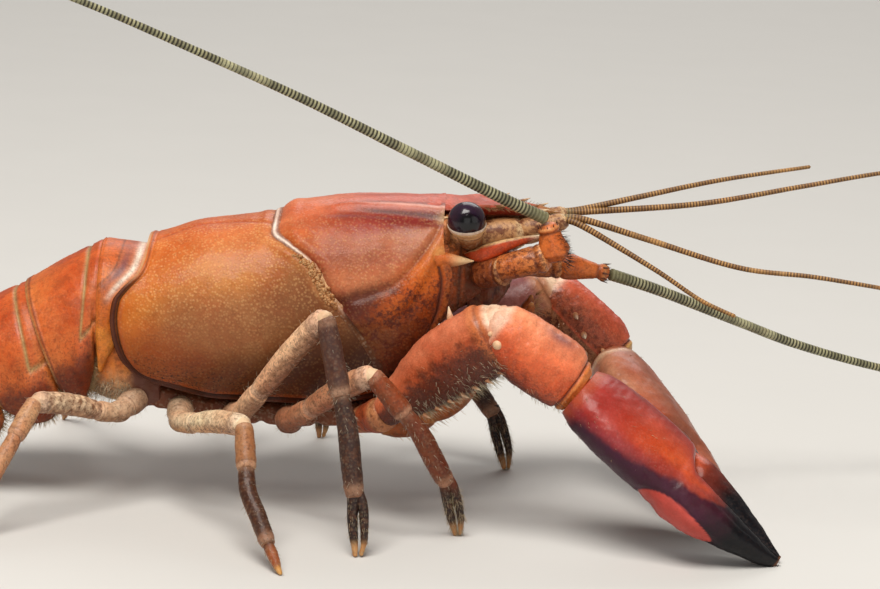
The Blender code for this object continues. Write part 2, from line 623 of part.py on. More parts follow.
def flat_ring(centre, outward, top, low, high, half_depth, count=12):
    """Rounded section that spans from low to high along outward."""
    middle, half = (low + high) / 2, (high - low) / 2
    ring = []
    for k in range(count):
        a = 2 * math.pi * k / count
        wide = squared(math.cos(a), 0.85) * half
        ring.append(centre + outward * (middle + wide) + top * (math.sin(a) * half_depth))
    return ring


def build_claw(side, sign, shell, dark):
    """Hand of the claw leg with its fixed finger, and the movable finger on its inner side."""
    wrist, along, outward, top = claw_frame(side, sign)
    rings = []
    for s in (HAND_START, 0.1, 0.2, 0.32, PALM_END - 0.03, PALM_END + 0.02, 0.58, 0.7, 0.82, 0.92, CLAW_TIP):
        low = -smooth(CLAW_INNER, s) * CLAW_WIDTH if s < PALM_END else finger_split(s) + FINGER_GAP / 2
        high = smooth(CLAW_OUTER, s) * CLAW_WIDTH
        depth = smooth(CLAW_HALF_DEPTH, s) * CLAW_DEPTH
        rings.append(flat_ring(wrist + along * (CLAW_LENGTH * s), outward, top, low, high, depth))
    bm = bmesh.new()
    add_loft(bm, rings)
    cut_off(bm, Vector((0, 0, 0)), Vector((0, 0, -1)))
    make_object("claw_hand_" + side, bm, shell)

    rings = []
    for s in (PALM_END + 0.035, PALM_END + 0.08, 0.62, 0.74, 0.86, 0.94, CLAW_TIP):
        high = finger_split(s) - FINGER_GAP / 2
        low = min(-smooth(CLAW_INNER, s) * CLAW_WIDTH, high - THINNEST_FINGER)
        depth = smooth(CLAW_HALF_DEPTH, s) * CLAW_DEPTH * FINGER_DEPTH_SHARE
        rings.append(flat_ring(wrist + along * (CLAW_LENGTH * s), outward, top, low, high, depth, 10))
    bm = bmesh.new()
    add_loft(bm, rings)
    cut_off(bm, Vector((0, 0, 0)), Vector((0, 0, -1)))
    make_object("claw_finger_" + side, bm, dark)


def build_shoulder(side, shoulder, arm, onward, material):
    """Short segment between the body and the arm of the claw leg."""
    rings = tube_rings([shoulder, shoulder.lerp(arm, 0.5), arm], (1.45, 1.75, 1.95), 10)
    rings[0] = [Vector((p.x, shoulder.y, p.z)) for p in rings[0]]
    bm = bmesh.new()
    add_loft(bm, rings, end=arm + (arm - shoulder).normalized() * 1.2)
    cut_off(bm, arm - onward * GAP / 2, onward)
    make_object("claw_shoulder_" + side, bm, material)


def build_upper_arm(side, sign, arm, elbow, bend, material):
    """Arm of the claw leg, with one spine above and a row of them below."""
    onward = (elbow - arm).normalized()
    reach = (elbow - arm).length
    side_axis, top = across(onward)
    rings = []
    for s, half, high, low in ((0.0, 1.9, 1.9, 1.7), (0.25, 2.3, 2.6, 2.5), (0.6, 2.9, 3.4, 3.7),
                               (0.88, 3.0, 3.7, 4.0), (1.06, 2.6, 3.1, 3.3)):
        centre = arm + onward * (reach * s + GAP / 2 * (s == 0.0)) + top * (high - low) / 2
        rings.append(oval(centre, side_axis, top, half, (high + low) / 2, 12))
    pole = add_round_end(rings, onward, 2.2)
    bm = bmesh.new()
    add_loft(bm, rings, end=pole)
    cut_off(bm, elbow - bend * GAP / 2, bend)
    upper = make_object("claw_arm_" + side, bm, material)
    peak = arm.lerp(elbow, 0.62) + top * 2.6
    thorns = [spine(peak, peak + top * 2.0 + onward * 1.3, 0.6, material)]
    for s in (0.34, 0.5, 0.64):
        under = arm.lerp(elbow, s) - top * 2.8 - side_axis * sign * 0.9
        thorns.append(spine(under, under - top * 1.8 + onward * 0.8, 0.5, material))
    fuse(upper, thorns)


def build_wrist(side, sign, elbow, wrist, bend, material):
    """Wrist of the claw leg, with spines on its inner side."""
    forearm = (wrist - elbow).normalized()
    along = claw_frame(side, sign)[1]
    side_axis, top = across(forearm)
    rings = []
    for s, half, tall in ((1.1, 2.5, 2.4), (0.85, 3.4, 3.3), (0.5, 3.6, 3.7), (0.15, 3.1, 3.5), (-0.12, 2.4, 2.7)):
        rings.append(oval(elbow + (wrist - elbow) * s, side_axis, top, half, tall, 12))
    pole = add_round_end(rings, -forearm, 1.6)
    bm = bmesh.new()
    add_loft(bm, rings, end=pole)
    cut_off(bm, elbow + bend * GAP / 2, -bend)
    cut_off(bm, wrist + along * (HAND_START * CLAW_LENGTH - GAP), along)
    lower = make_object("claw_wrist_" + side, bm, material)
    inner = side_axis if side_axis.y * sign < 0 else -side_axis
    thorns = []
    for s, rise in ((0.3, 1.2), (0.52, 0.5), (0.68, -0.8)):
        root = elbow.lerp(wrist, s) + inner * 2.6 + top * rise
        thorns.append(spine(root, root + inner * 2.2 + forearm * 0.7 + top * 0.3, 0.65, material))
    fuse(lower, thorns)


def build_arm(side, sign, shell, pale):
    """The three parts of the claw leg between the body and the hand."""
    claw = CLAWS[side]
    shoulder, arm, elbow, wrist = (on_side(sign, *p) for p in (claw.shoulder, claw.arm, claw.elbow, claw.wrist))
    onward = (elbow - arm).normalized()
    bend = (onward + (wrist - elbow).normalized()).normalized()
    build_shoulder(side, shoulder, arm, onward, pale)
    build_upper_arm(side, sign, arm, elbow, bend, shell)
    build_wrist(side, sign, elbow, wrist, bend, shell)


# Tail

def tail_edge_frame(edge):
    """Point on the back, direction down through the section and direction towards the tail."""
    tilt = math.radians(edge.tilt)
    back = Vector((-math.cos(tilt), 0, -math.sin(tilt)))
    down = Vector((math.sin(tilt), 0, -math.cos(tilt)))
    return Vector((edge.x, 0, edge.top)), down, back


def tail_ring(edge, swell=1.0, drop=1.0, shift=0.0):
    """Ring round the tail: an arch whose side flaps hang below a shallow hollow."""
    point, down, back = tail_edge_frame(edge)
    height, half = edge.height * swell, edge.half_width * swell
    body = height * 0.66
    flap = body + (height - body) * drop
    outline = [(math.sin(a) ** 0.92 * half, body * (1 - math.cos(a))) for a in
               (math.radians(d) for d in (0, 12, 24, 36, 49, 62, 76, 90))]
    outline += [(half * 0.985, body + (flap - body) * 0.6), (half * 0.9, flap),
                (half * 0.8, body + (flap - body) * 0.5), (half * 0.62, body * 1.02)]
    top = point + down * (edge.height * (1 - swell) * 0.3) + back * shift
    ring = [top + down * d + Vector((0, -y, 0)) for y, d in outline]
    ring += [top + down * body * 1.02]
    ring += [top + down * d + Vector((0, y, 0)) for y, d in reversed(outline[1:])]
    return ring


def mixed_edge(a, b, share):
    """Edge of the tail part of the way from one edge to the next."""
    return Edge(*(p + (q - p) * share for p, q in zip(a, b)))


def swimmeret(root, sign, down, back, length, material):
    """Small flat paddle that hangs under a ring of the tail."""
    drift = (down * 0.8 + back * 0.45 + Vector((0, sign * 0.22, 0))).normalized()
    path = [root - drift * 1.6, root + drift * length * 0.35, root + drift * length * 0.7, root + drift * length]
    bm = bmesh.new()
    add_loft(bm, tube_rings(path, (0.9, 1.0, 1.25, 0.5), 6, Vector((1, 0, 0)), 0.45))
    return make_object("swimmeret", bm, material)


def first_ring():
    """Outline rings of the first tail ring, whose front end goes into the hollow of the carapace."""
    rear = TAIL_EDGES[0]
    rim = shell_ring(lambda z: smooth(REAR_EDGE, z) - GAP - 0.05)
    inset = RECESS_SHARE - 0.1
    middle = sum(rim, Vector()) / len(rim)
    follow = [Vector((p.x, *(middle + (p - middle) * inset).yz)) for p in rim]
    return [shrink(rim, inset - 0.02, RECESS_X - GAP), follow, tail_ring(rear, 0.97, 0.7, -0.9),
            tail_ring(rear, 0.98, 0.6)]


def build_tail_ring(number, shell, pale):
    """One ring of the abdomen, with a pair of swimmerets under rings 2 to 5."""
    if number == 1:
        rings = first_ring()
    else:
        front, rear = TAIL_EDGES[number - 2], TAIL_EDGES[number - 1]
        steps = ((0.0, 0.955, 0.45), (0.12, 0.99, 0.7), (0.45, 1.025, 1.0), (0.8, 1.01, 0.9), (1.0, 0.985, 0.5))
        rings = [tail_ring(mixed_edge(front, rear, share), swell, drop, GAP if share == 0.0 else 0.0)
                 for share, swell, drop in steps]
    bm = bmesh.new()
    add_loft(bm, rings)
    ring = make_object(f"tail_ring_{number}", bm, shell)
    if 2 <= number <= 5:
        middle = mixed_edge(front, rear, 0.55)
        point, down, back = tail_edge_frame(middle)
        root = point + down * middle.height * 0.68
        length = SWIMMERET_LENGTH - 0.5 * number
        pair = [swimmeret(root + Vector((0, sign * middle.half_width * 0.45, 0)), sign, down, back, length, pale)
                for sign in SIDES.values()]
        fuse(ring, pair)


def paddle(name, root, direction, spread, length, width, thick, material, blunt=0.75):
    """Flat rounded plate of the tail fan."""
    side = direction.cross(Vector((0, 0, 1))).normalized()
    top = side.cross(direction).normalized()
    rows = ((0.0, 0.36, 1.0), (0.14, 0.7, 1.0), (0.45, 0.96, 0.85), (0.72, 1.0, 0.7), (0.9, blunt, 0.6),
            (1.0, blunt * 0.5, 0.5))
    rings = []
    for s, half, tall in rows:
        centre = root + direction * length * s - Vector((0, 0, spread * s * s))
        rings.append(oval(centre, side, top, half * width / 2, tall * thick / 2, 10))
    bm = bmesh.new()
    add_loft(bm, rings)
    return make_object(name, bm, material)


def build_tail_fan(shell):
    """Middle plate and the two plates on each side of it, laid one under another."""
    edge = TAIL_EDGES[-1]
    point, down, back = tail_edge_frame(edge)
    root = point + down * 1.5 + back * (GAP + 0.05)
    paddle("telson", root, back, -2.0, TELSON_LENGTH, 9.4, 1.5, shell, 0.85)
    for side, sign in SIDES.items():
        for name, depth, reach, offset, angle, length, width in (
                ("tail_plate_inner_", 2.9, 3.3, 0.7, 20, 13.0, 8.4),
                ("tail_plate_outer_", 4.3, 4.6, 1.3, 42, 13.4, 8.8)):
            turn = Matrix.Rotation(math.radians(angle) * -sign, 3, Vector((0, 0, 1)))
            start = point + down * depth + back * (GAP + offset) + Vector((0, sign * reach, 0))
            paddle(name + side, start, (turn @ back).normalized(), -2.2, length, width, 1.1, shell)


def make_material(name, colour, roughness, metallic=0.0):
    """Plain material of one part of the animal."""
    material = bpy.data.materials.new(name)
    material.use_nodes = True
    shader = material.node_tree.nodes["Principled BSDF"]
    shader.inputs["Base Color"].default_value = (*colour, 1.0)
    shader.inputs["Roughness"].default_value = roughness
    shader.inputs["Metallic"].default_value = metallic
    return material


def centre_on_floor():
    """Moves every piece so that the origin is at the bottom centre of the whole animal."""
    objects = bpy.data.collections[PARTS].objects
    corners = [v.co for obj in objects for v in obj.data.vertices]
    low = Vector([min(c[i] for c in corners) for i in range(3)])
    high = Vector([max(c[i] for c in corners) for i in range(3)])
    shift = Vector((-(low.x + high.x) / 2, -(low.y + high.y) / 2, -low.z))
    for obj in objects:
        obj.data.transform(Matrix.Translation(shift))


def main():
    for obj in list(bpy.data.objects):
        bpy.data.objects.remove(obj)
    bpy.context.scene.collection.children.link(bpy.data.collections.new(PARTS))
    shell = make_material("shell", (0.55, 0.17, 0.06), 0.35)
    claw = make_material("claw_shell", (0.6, 0.13, 0.07), 0.3)
    limb = make_material("leg_shell", (0.5, 0.27, 0.15), 0.45)
    membrane = make_material("membrane", (0.62, 0.42, 0.24), 0.5)
    dark = make_material("dark_tip", (0.03, 0.03, 0.05), 0.35)
    cornea = make_material("eye", (0.02, 0.015, 0.03), 0.1)
    ringed = make_material("feeler", (0.35, 0.3, 0.16), 0.5)
    build_thorax(shell)
    build_head(shell)
    build_sternum(membrane)
    build_mouthparts(limb)
    build_epistome(membrane)
    for side, sign in SIDES.items():
        build_eye(side, sign, cornea, membrane)
        build_antenna(side, claw, ringed)
        build_antennule(side, sign, membrane, ringed)
        build_antennal_scale(side, sign, claw)
        build_maxilliped(side, sign, limb)
        build_arm(side, sign, claw, limb)
        build_claw(side, sign, claw, dark)
        for number in LEGS:
            build_leg(number, side, sign, limb)
    for number in range(1, 7):
        build_tail_ring(number, shell, membrane)
    build_tail_fan(shell)
    centre_on_floor()


main()
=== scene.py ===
import json
import math

import bmesh
import bpy
import numpy as np
from mathutils import Matrix, Vector

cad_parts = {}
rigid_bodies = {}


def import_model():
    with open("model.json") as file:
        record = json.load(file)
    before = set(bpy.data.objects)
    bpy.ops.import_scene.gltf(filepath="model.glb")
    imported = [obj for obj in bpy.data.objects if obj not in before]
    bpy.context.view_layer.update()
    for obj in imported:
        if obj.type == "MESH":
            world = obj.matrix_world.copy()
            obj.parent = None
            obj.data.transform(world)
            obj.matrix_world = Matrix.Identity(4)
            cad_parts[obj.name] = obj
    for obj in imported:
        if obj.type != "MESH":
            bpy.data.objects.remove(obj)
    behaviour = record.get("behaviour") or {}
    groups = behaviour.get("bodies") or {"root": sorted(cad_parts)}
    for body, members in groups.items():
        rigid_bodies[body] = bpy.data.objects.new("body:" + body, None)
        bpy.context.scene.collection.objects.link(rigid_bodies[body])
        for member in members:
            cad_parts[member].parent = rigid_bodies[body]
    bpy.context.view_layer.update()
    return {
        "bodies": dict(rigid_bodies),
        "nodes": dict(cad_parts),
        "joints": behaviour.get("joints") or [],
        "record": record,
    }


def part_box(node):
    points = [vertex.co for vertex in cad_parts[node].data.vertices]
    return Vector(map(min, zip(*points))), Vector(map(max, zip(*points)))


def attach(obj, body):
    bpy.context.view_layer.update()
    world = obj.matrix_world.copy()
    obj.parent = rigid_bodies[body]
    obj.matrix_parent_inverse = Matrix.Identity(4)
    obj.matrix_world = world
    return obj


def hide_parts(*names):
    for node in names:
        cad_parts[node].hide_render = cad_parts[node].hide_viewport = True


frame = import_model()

mm = 0.001
sides = {"R": -1.0, "L": 1.0}

# Everything below is worked out in millimetres with the back edge of the carapace at x = 0, the midline
# at y = 0 and the floor at z = 0, and moved to the frame's origin when a mesh is made.
rostrumTipX = 45.2
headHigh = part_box("carapace_head")[1]
eyeBoxes = [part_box("eye_R"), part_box("eye_L")]
shift = np.array([
    headHigh[0] / mm - rostrumTipX,
    sum(corner[1] for box in eyeBoxes for corner in box) / 4 / mm,
    0.0,
])
print("stage 1: frame loaded, body shift in mm", [round(float(v), 3) for v in shift])


# Small helpers for numbers and colours

def rgb(red, green, blue):
    values = np.array([red, green, blue], dtype=float) / 255
    return np.where(values <= 0.04045, values / 12.92, ((values + 0.055) / 1.055) ** 2.4)


def curve(table, x):
    # smooth, never overshooting curve through (x, value) pairs
    xs = np.array([p[0] for p in table], dtype=float)
    ys = np.array([p[1] for p in table], dtype=float)
    x = np.asarray(x, dtype=float)
    slopes = np.diff(ys) / np.diff(xs)
    before = np.concatenate([slopes[:1], slopes])
    after = np.concatenate([slopes, slopes[-1:]])
    product = before * after
    tangent = np.where(product > 0, 2 * product / np.where(before + after == 0, 1, before + after), 0.0)
    i = np.clip(np.searchsorted(xs, x, side="right") - 1, 0, len(xs) - 2)
    width = xs[i + 1] - xs[i]
    t = np.clip((x - xs[i]) / width, 0, 1)
    return (ys[i] * (2 * t**3 - 3 * t**2 + 1) + ys[i + 1] * (3 * t**2 - 2 * t**3)
            + tangent[i] * width * (t**3 - 2 * t**2 + t) + tangent[i + 1] * width * (t**3 - t**2))


def ease(low, high, x):
    t = np.clip((np.asarray(x, dtype=float) - low) / (high - low), 0, 1)
    return t * t * (3 - 2 * t)


def bell(x, middle, spread):
    return np.exp(-((np.asarray(x, dtype=float) - middle) / spread) ** 2)


def blendTo(paint, colour, mask):
    mask = np.clip(np.asarray(mask), 0, 1)[..., None]
    return paint * (1 - mask) + np.asarray(colour) * mask


def washed(paint, washes):
    # lays one (colour, mask) wash after another over the paint
    for colour, mask in washes:
        paint = blendTo(paint, colour, mask)
    return paint


def patchPaint(first, second, patches):
    # soft patches: (first, second, spread, spread, colour), mixed by nearness
    total = np.zeros(first.shape + (3,))
    weight = np.full(first.shape, 1e-9)
    for a, b, spreadA, spreadB, colour in patches:
        w = np.exp(-((first - a) / spreadA) ** 2 - ((second - b) / spreadB) ** 2)
        total += w[..., None] * np.asarray(colour)
        weight += w
    return total / weight[..., None]


def waves(points, pitch, seed):
    # cheap smooth noise between about -1 and 1 from three sizes of turned sine waves, pitch in mm
    draw = np.random.RandomState(seed)
    value = np.zeros(points.shape[:-1])
    size = 1.0
    for _ in range(3):
        for _ in range(4):
            turn = draw.normal(size=3)
            turn /= np.linalg.norm(turn)
            value += size * np.sin(points @ turn * (2 * math.pi / pitch) + draw.uniform(0, 6.28))
        size *= 0.55
        pitch *= 0.47
    return value / 4.5


def unit(vector):
    return vector / np.linalg.norm(vector)


def sideAndTop(direction, up=(0, 0, 1.0)):
    # the two directions across a straight part that runs along direction
    side = np.cross(direction, up)
    side /= np.linalg.norm(side)
    return side, np.cross(side, direction)


def circle(count, start=0.0):
    return np.linspace(0, 2 * math.pi, count, endpoint=False) + start


def squared(values, power):
    # sines and cosines pushed out towards a box, with their signs kept
    return np.sign(values) * np.abs(values) ** power


def columns(rows, picked, x):
    # curves at x through the picked columns of a table whose first column is x
    return (curve([(r[0], r[k]) for r in rows], x) for k in picked)


# Grids of points: the skins are lofted from rings, painted point by point and joined into pieces

def normalsOf(points, closed=True):
    if closed:
        around = np.roll(points, -1, axis=1) - np.roll(points, 1, axis=1)
    else:
        around = np.gradient(points, axis=1)
    along = np.gradient(points, axis=0)
    normal = np.cross(around, along)
    length = np.linalg.norm(normal, axis=2, keepdims=True)
    normal = normal / np.where(length < 1e-12, 1, length)
    middle = points.mean(axis=1, keepdims=True)
    outward = np.sign(((points - middle) * normal).sum(axis=2).mean(axis=1))
    outward[outward == 0] = 1
    flips = np.sign(outward.sum()) or 1.0
    return normal * flips


class Grid:
    # rows of rings, with a colour and three amounts (mottle, pale speckle, dark stipple) at each point;
    # along and around say where a point lies, as one value for each row and ring place or for each point
    def __init__(self, points, along, around, closed=True, startPole=None, endPole=None):
        self.points = points
        shape = points.shape[:2]
        self.along = np.ascontiguousarray(np.broadcast_to(np.reshape(along, (shape[0], -1)), shape))
        self.around = np.ascontiguousarray(np.broadcast_to(around, shape))
        self.closed = closed
        self.startPole = startPole
        self.endPole = endPole
        self.paint = np.zeros(points.shape) + 0.5
        self.detail = np.zeros(points.shape)
        self.normals = normalsOf(points, closed)

    def push(self, amount):
        self.points = self.points + self.normals * np.asarray(amount)[..., None]
        self.normals = normalsOf(self.points, self.closed)
        return self

    def coloured(self, colour):
        return np.zeros(self.points.shape) + colour

    def marks(self, mottle=0.0, speckle=0.0, stipple=0.0):
        for k, amount in enumerate((mottle, speckle, stipple)):
            self.detail[..., k] = amount
        return self


def framesOf(path, up):
    direction = np.gradient(path, axis=0)
    direction /= np.linalg.norm(direction, axis=1, keepdims=True)
    side = np.cross(direction, np.asarray(up, dtype=float))
    side /= np.linalg.norm(side, axis=1, keepdims=True)
    top = np.cross(side, direction)
    return direction, side, top


def chordLengths(points):
    steps = np.linalg.norm(np.diff(points, axis=0), axis=1)
    return np.concatenate([[0], np.cumsum(steps)])


def throughPoints(points, count):
    # smooth path through points, evenly spaced by length
    points = np.asarray(points, dtype=float)
    chord = chordLengths(points)
    table = [[(c, p[k]) for c, p in zip(chord, points)] for k in range(3)]
    t = np.linspace(0, 1, count) * chord[-1]
    return np.stack([curve(table[k], t) for k in range(3)], axis=1), t / chord[-1]


capRows = 7


def tube(points, radii, rows=60, around=32, up=(0, 0, 1), capStart=0.5, capEnd=0.5):
    # radii: (share of length, side radius, top radius where it differs) along the path; the ends are domed
    path, s = throughPoints(points, rows)
    wide = curve([(r[0], r[1]) for r in radii], s)
    tall = curve([(r[0], r[-1]) for r in radii], s)
    direction, side, top = framesOf(path, up)
    angle = circle(around)
    rings, shares = [], []

    def ring(i, push, narrow):
        centre = path[i] + direction[i] * push
        across = side[i] * (np.cos(angle) * (wide[i] * narrow))[:, None]
        rings.append(centre + across + top[i] * (np.sin(angle) * (tall[i] * narrow))[:, None])
        shares.append(s[i])

    def dome(i, cap, steps):
        for k in steps:
            turn = math.pi / 2 * k / (capRows + 0.4)
            ring(i, cap * wide[i] * math.sin(turn), math.cos(turn))

    dome(0, -capStart, range(capRows, 0, -1))
    for i in range(rows):
        ring(i, 0.0, 1.0)
    dome(-1, capEnd, range(1, capRows + 1))
    start = path[0] - direction[0] * capStart * wide[0]
    end = path[-1] + direction[-1] * capEnd * wide[-1]
    return Grid(np.stack(rings), np.array(shares), angle, True, start, end)


def addAttribute(mesh, name, colours):
    layer = mesh.attributes.new(name, "FLOAT_COLOR", "POINT")
    opaque = np.concatenate([colours, np.ones((len(colours), 1))], axis=1)
    layer.data.foreach_set("color", opaque.astype(np.float32).ravel())


def addObject(name, mesh, material):
    mesh.materials.append(material)
    thing = bpy.data.objects.new(name, mesh)
    bpy.context.scene.collection.objects.link(thing)
    return thing


def makePiece(name, grids, material, replaces):
    verts, faces, paint, detail = [], [], [], []
    offset = 0
    for g in grids:
        rows, count = g.points.shape[:2]
        verts.append(g.points.reshape(-1, 3))
        paint.append(g.paint.reshape(-1, 3))
        detail.append(g.detail.reshape(-1, 3))
        index = np.arange(rows * count).reshape(rows, count) + offset
        following = np.roll(index, -1, axis=1) if g.closed else index[:, 1:]
        here = index if g.closed else index[:, :-1]
        quads = np.stack([here[:-1], following[:-1], following[1:], here[1:]], axis=-1).reshape(-1, 4)
        faces.extend(quads.tolist())
        offset += rows * count
        for pole, edge in ((g.startPole, 0), (g.endPole, -1)):
            if pole is None:
                continue
            verts.append(np.asarray(pole, dtype=float)[None, :])
            paint.append(g.paint[edge].mean(axis=0)[None, :])
            detail.append(g.detail[edge].mean(axis=0)[None, :])
            ring = index[edge].tolist()
            pairs = zip(ring[1:] + ring[:1], ring) if edge == 0 else zip(ring, ring[1:] + ring[:1])
            faces.extend([first, second, offset] for first, second in pairs)
            offset += 1
    points = (np.concatenate(verts) + shift) * mm
    mesh = bpy.data.meshes.new(name)
    mesh.from_pydata(points.tolist(), [], faces)
    for label, values in (("paint", paint), ("detail", detail)):
        addAttribute(mesh, label, np.concatenate(values))
    bm = bmesh.new()
    bm.from_mesh(mesh)
    bmesh.ops.recalc_face_normals(bm, faces=bm.faces)
    bm.to_mesh(mesh)
    bm.free()
    mesh.shade_smooth()
    piece = addObject(name, mesh, material)
    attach(piece, "root")
    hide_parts(*replaces)


def cone(base, tip, radius, colour, tipColour, rows=8, around=10, detail=(0, 0, 0)):
    # a pointed spine that narrows smoothly, with its own two colours
    base, tip = np.asarray(base, dtype=float), np.asarray(tip, dtype=float)
    path, s = throughPoints([base, (base + tip) / 2, tip], rows)
    upright = abs((tip - base)[2]) >= 0.9 * np.linalg.norm(tip - base)
    _, side, top = framesOf(path, (1, 0.2, 0) if upright else (0.13, 0.21, 0.97))
    angle = circle(around)
    width = radius * (1 - s) ** 0.8
    width[-1] = radius * 0.06
    points = path[:, None, :] + side[:, None, :] * (np.cos(angle)[None, :] * width[:, None])[..., None] \
        + top[:, None, :] * (np.sin(angle)[None, :] * width[:, None])[..., None]
    g = Grid(points, s, angle, True, base, tip)
    g.paint = blendTo(g.coloured(colour), tipColour, ease(0.35, 0.85, g.along))
    return g.marks(*detail)


def turnedIn(g, row, insets, pole, colour, innerColour=None):
    # closes an open end of a grid with rings that turn inwards; insets are (size of the ring, place in x)
    rim = g.points[row]
    middle = rim.mean(axis=0)
    rings = [rim]
    for inset, depth in insets:
        ring = middle + (rim - middle) * inset
        ring[:, 0] = rim[:, 0] + depth
        rings.append(ring)
    cap = Grid(np.stack(rings), g.along[:len(rings)], g.around[:len(rings)], True, None,
               middle + np.array(pole))
    cap.paint[:] = colour
    if innerColour is not None:
        cap.paint[2:] = innerColour
    return cap


# Materials: their nodes read the colours and amounts that each mesh carries

class NodeSheet:
    # the nodes of one new material, with short ways to add and join them
    def __init__(self, name):
        self.material = bpy.data.materials.new(name)
        self.material.use_nodes = True
        self.nodes, self.links = self.material.node_tree.nodes, self.material.node_tree.links
        self.place = self.add("ShaderNodeTexCoord").outputs["Object"]

    def give(self, node, values):
        # each value is another node's output, a number or a colour
        for key, value in dict(values).items():
            socket = node.inputs[key]
            if isinstance(value, bpy.types.NodeSocket):
                self.links.new(value, socket)
            else:
                socket.default_value = (*[float(v) for v in value], 1.0) if np.ndim(value) else value

    def add(self, kind, values=(), **settings):
        node = self.nodes.new(kind)
        for key, value in settings.items():
            setattr(node, key, value)
        self.give(node, values)
        return node

    def carried(self, name):
        return self.add("ShaderNodeAttribute", attribute_name=name).outputs["Color"]

    def noise(self, scale, fineness=2.0, rough=0.5, output="Fac"):
        values = {"Scale": scale, "Detail": fineness, "Roughness": rough, "Vector": self.place}
        return self.add("ShaderNodeTexNoise", values).outputs[output]

    def cells(self, scale, scatter=1.0):
        values = {"Scale": scale, "Randomness": scatter, "Vector": self.place}
        return self.add("ShaderNodeTexVoronoi", values).outputs["Distance"]

    def steps(self, source, low, high, toLow=0.0, toHigh=1.0, kind="SMOOTHSTEP"):
        values = {"Value": source, "From Min": low, "From Max": high, "To Min": toLow, "To Max": toHigh}
        return self.add("ShaderNodeMapRange", values, interpolation_type=kind).outputs["Result"]

    def times(self, first, second, operation="MULTIPLY"):
        return self.add("ShaderNodeMath", {0: first, 1: second}, operation=operation).outputs["Value"]

    def mix(self, factor, first, second, mode="MIX"):
        values = {0: factor, 6: first, 7: second}
        return self.add("ShaderNodeMix", values, data_type="RGBA", blend_type=mode).outputs[2]

    def finish(self, colour, look, height=None, strength=0.0, distance=0.0):
        # the look gives the gloss; a height makes the fine relief
        values = {"Base Color": colour, "Roughness": look["roughness"]}
        for key, name in (("coat", "Coat Weight"), ("coatRoughness", "Coat Roughness"),
                          ("specular", "Specular IOR Level")):
            if key in look:
                values[name] = look[key]
        if height is not None:
            relief = self.add("ShaderNodeBump", {"Strength": strength, "Distance": distance,
                                                 "Height": height})
            values["Normal"] = relief.outputs["Normal"]
        self.give(self.nodes["Principled BSDF"], values)
        return self.material


def shellMaterial(name, look):
    sheet = NodeSheet(name)
    noise, steps, times, mix = sheet.noise, sheet.steps, sheet.times, sheet.mix
    mottle, speckle, stipple = sheet.add("ShaderNodeSeparateColor", {0: sheet.carried("detail")}).outputs[:3]
    paint = sheet.carried("paint")

    clouds = steps(noise(look["cloudScale"], 4.0, 0.65), 0.3, 0.7)
    colour = mix(clouds, mix(0.5, paint, look["cloudTint"], "MULTIPLY"), paint)
    warmth = steps(noise(look["cloudScale"] * 3.1, 3.0, 0.6), 0.45, 0.75)
    colour = mix(times(warmth, look["warm"]), colour, look["warmTint"], "OVERLAY")

    blotches = steps(noise(look["mottleScale"], 5.0, 0.7), 0.47, 0.60)
    colour = mix(times(blotches, mottle), colour, look["mottleTint"])
    fineBlotches = steps(noise(look["mottleScale"] * 2.6, 3.0, 0.7), 0.5, 0.62)
    colour = mix(times(times(fineBlotches, mottle), 0.6), colour, look["mottleTint"])

    dots = sheet.cells(look["speckleScale"], 0.9)
    paleDots = times(steps(dots, 0.56, 0.2), steps(noise(look["speckleScale"] * 0.22, 2.0, 0.6),
                                                   0.3, 0.62, 0.25))
    paleColour = mix(0.5, colour, look["speckleTint"], "SCREEN")
    colour = mix(times(times(paleDots, speckle), look["speckleStrength"]), colour, paleColour)

    pits = steps(noise(look["stippleScale"], 2.0, 0.5), 0.52, 0.66)
    colour = mix(times(pits, stipple), colour, look["stippleTint"])

    gloss = steps(noise(look["cloudScale"] * 2.0, 3.0, 0.6), 0.3, 0.7, look["roughness"] - 0.07,
                  look["roughness"] + 0.09)
    granules = times(steps(dots, 0.6, 0.1), look["granules"])
    height = times(granules, times(noise(look["grainScale"], 3.0, 0.6), look["grain"]), "ADD")
    return sheet.finish(colour, {**look, "roughness": gloss}, height, look["bumpStrength"], 0.0002)


def eyeMaterial(name, look):
    sheet = NodeSheet(name)
    clouds = sheet.noise(look["cloudScale"], output="Color")
    colour = sheet.mix(0.6, sheet.carried("paint"), clouds, "MULTIPLY")
    return sheet.finish(colour, look, sheet.cells(look["facetScale"]), 0.08, 0.00005)


def hairMaterial(name, look):
    sheet = NodeSheet(name)
    clouds = sheet.steps(sheet.noise(look["cloudScale"]), 0.3, 0.7, look["darkest"], 1.0, "LINEAR")
    return sheet.finish(sheet.mix(1.0, sheet.carried("paint"), clouds, "MULTIPLY"), look)


def paperMaterial(name, look):
    sheet = NodeSheet(name)
    grain = sheet.steps(sheet.noise(look["grainScale"]), 0.0, 1.0, look["darkest"], 1.0, "LINEAR")
    return sheet.finish(sheet.mix(1.0, look["colour"], grain, "MULTIPLY"), look)


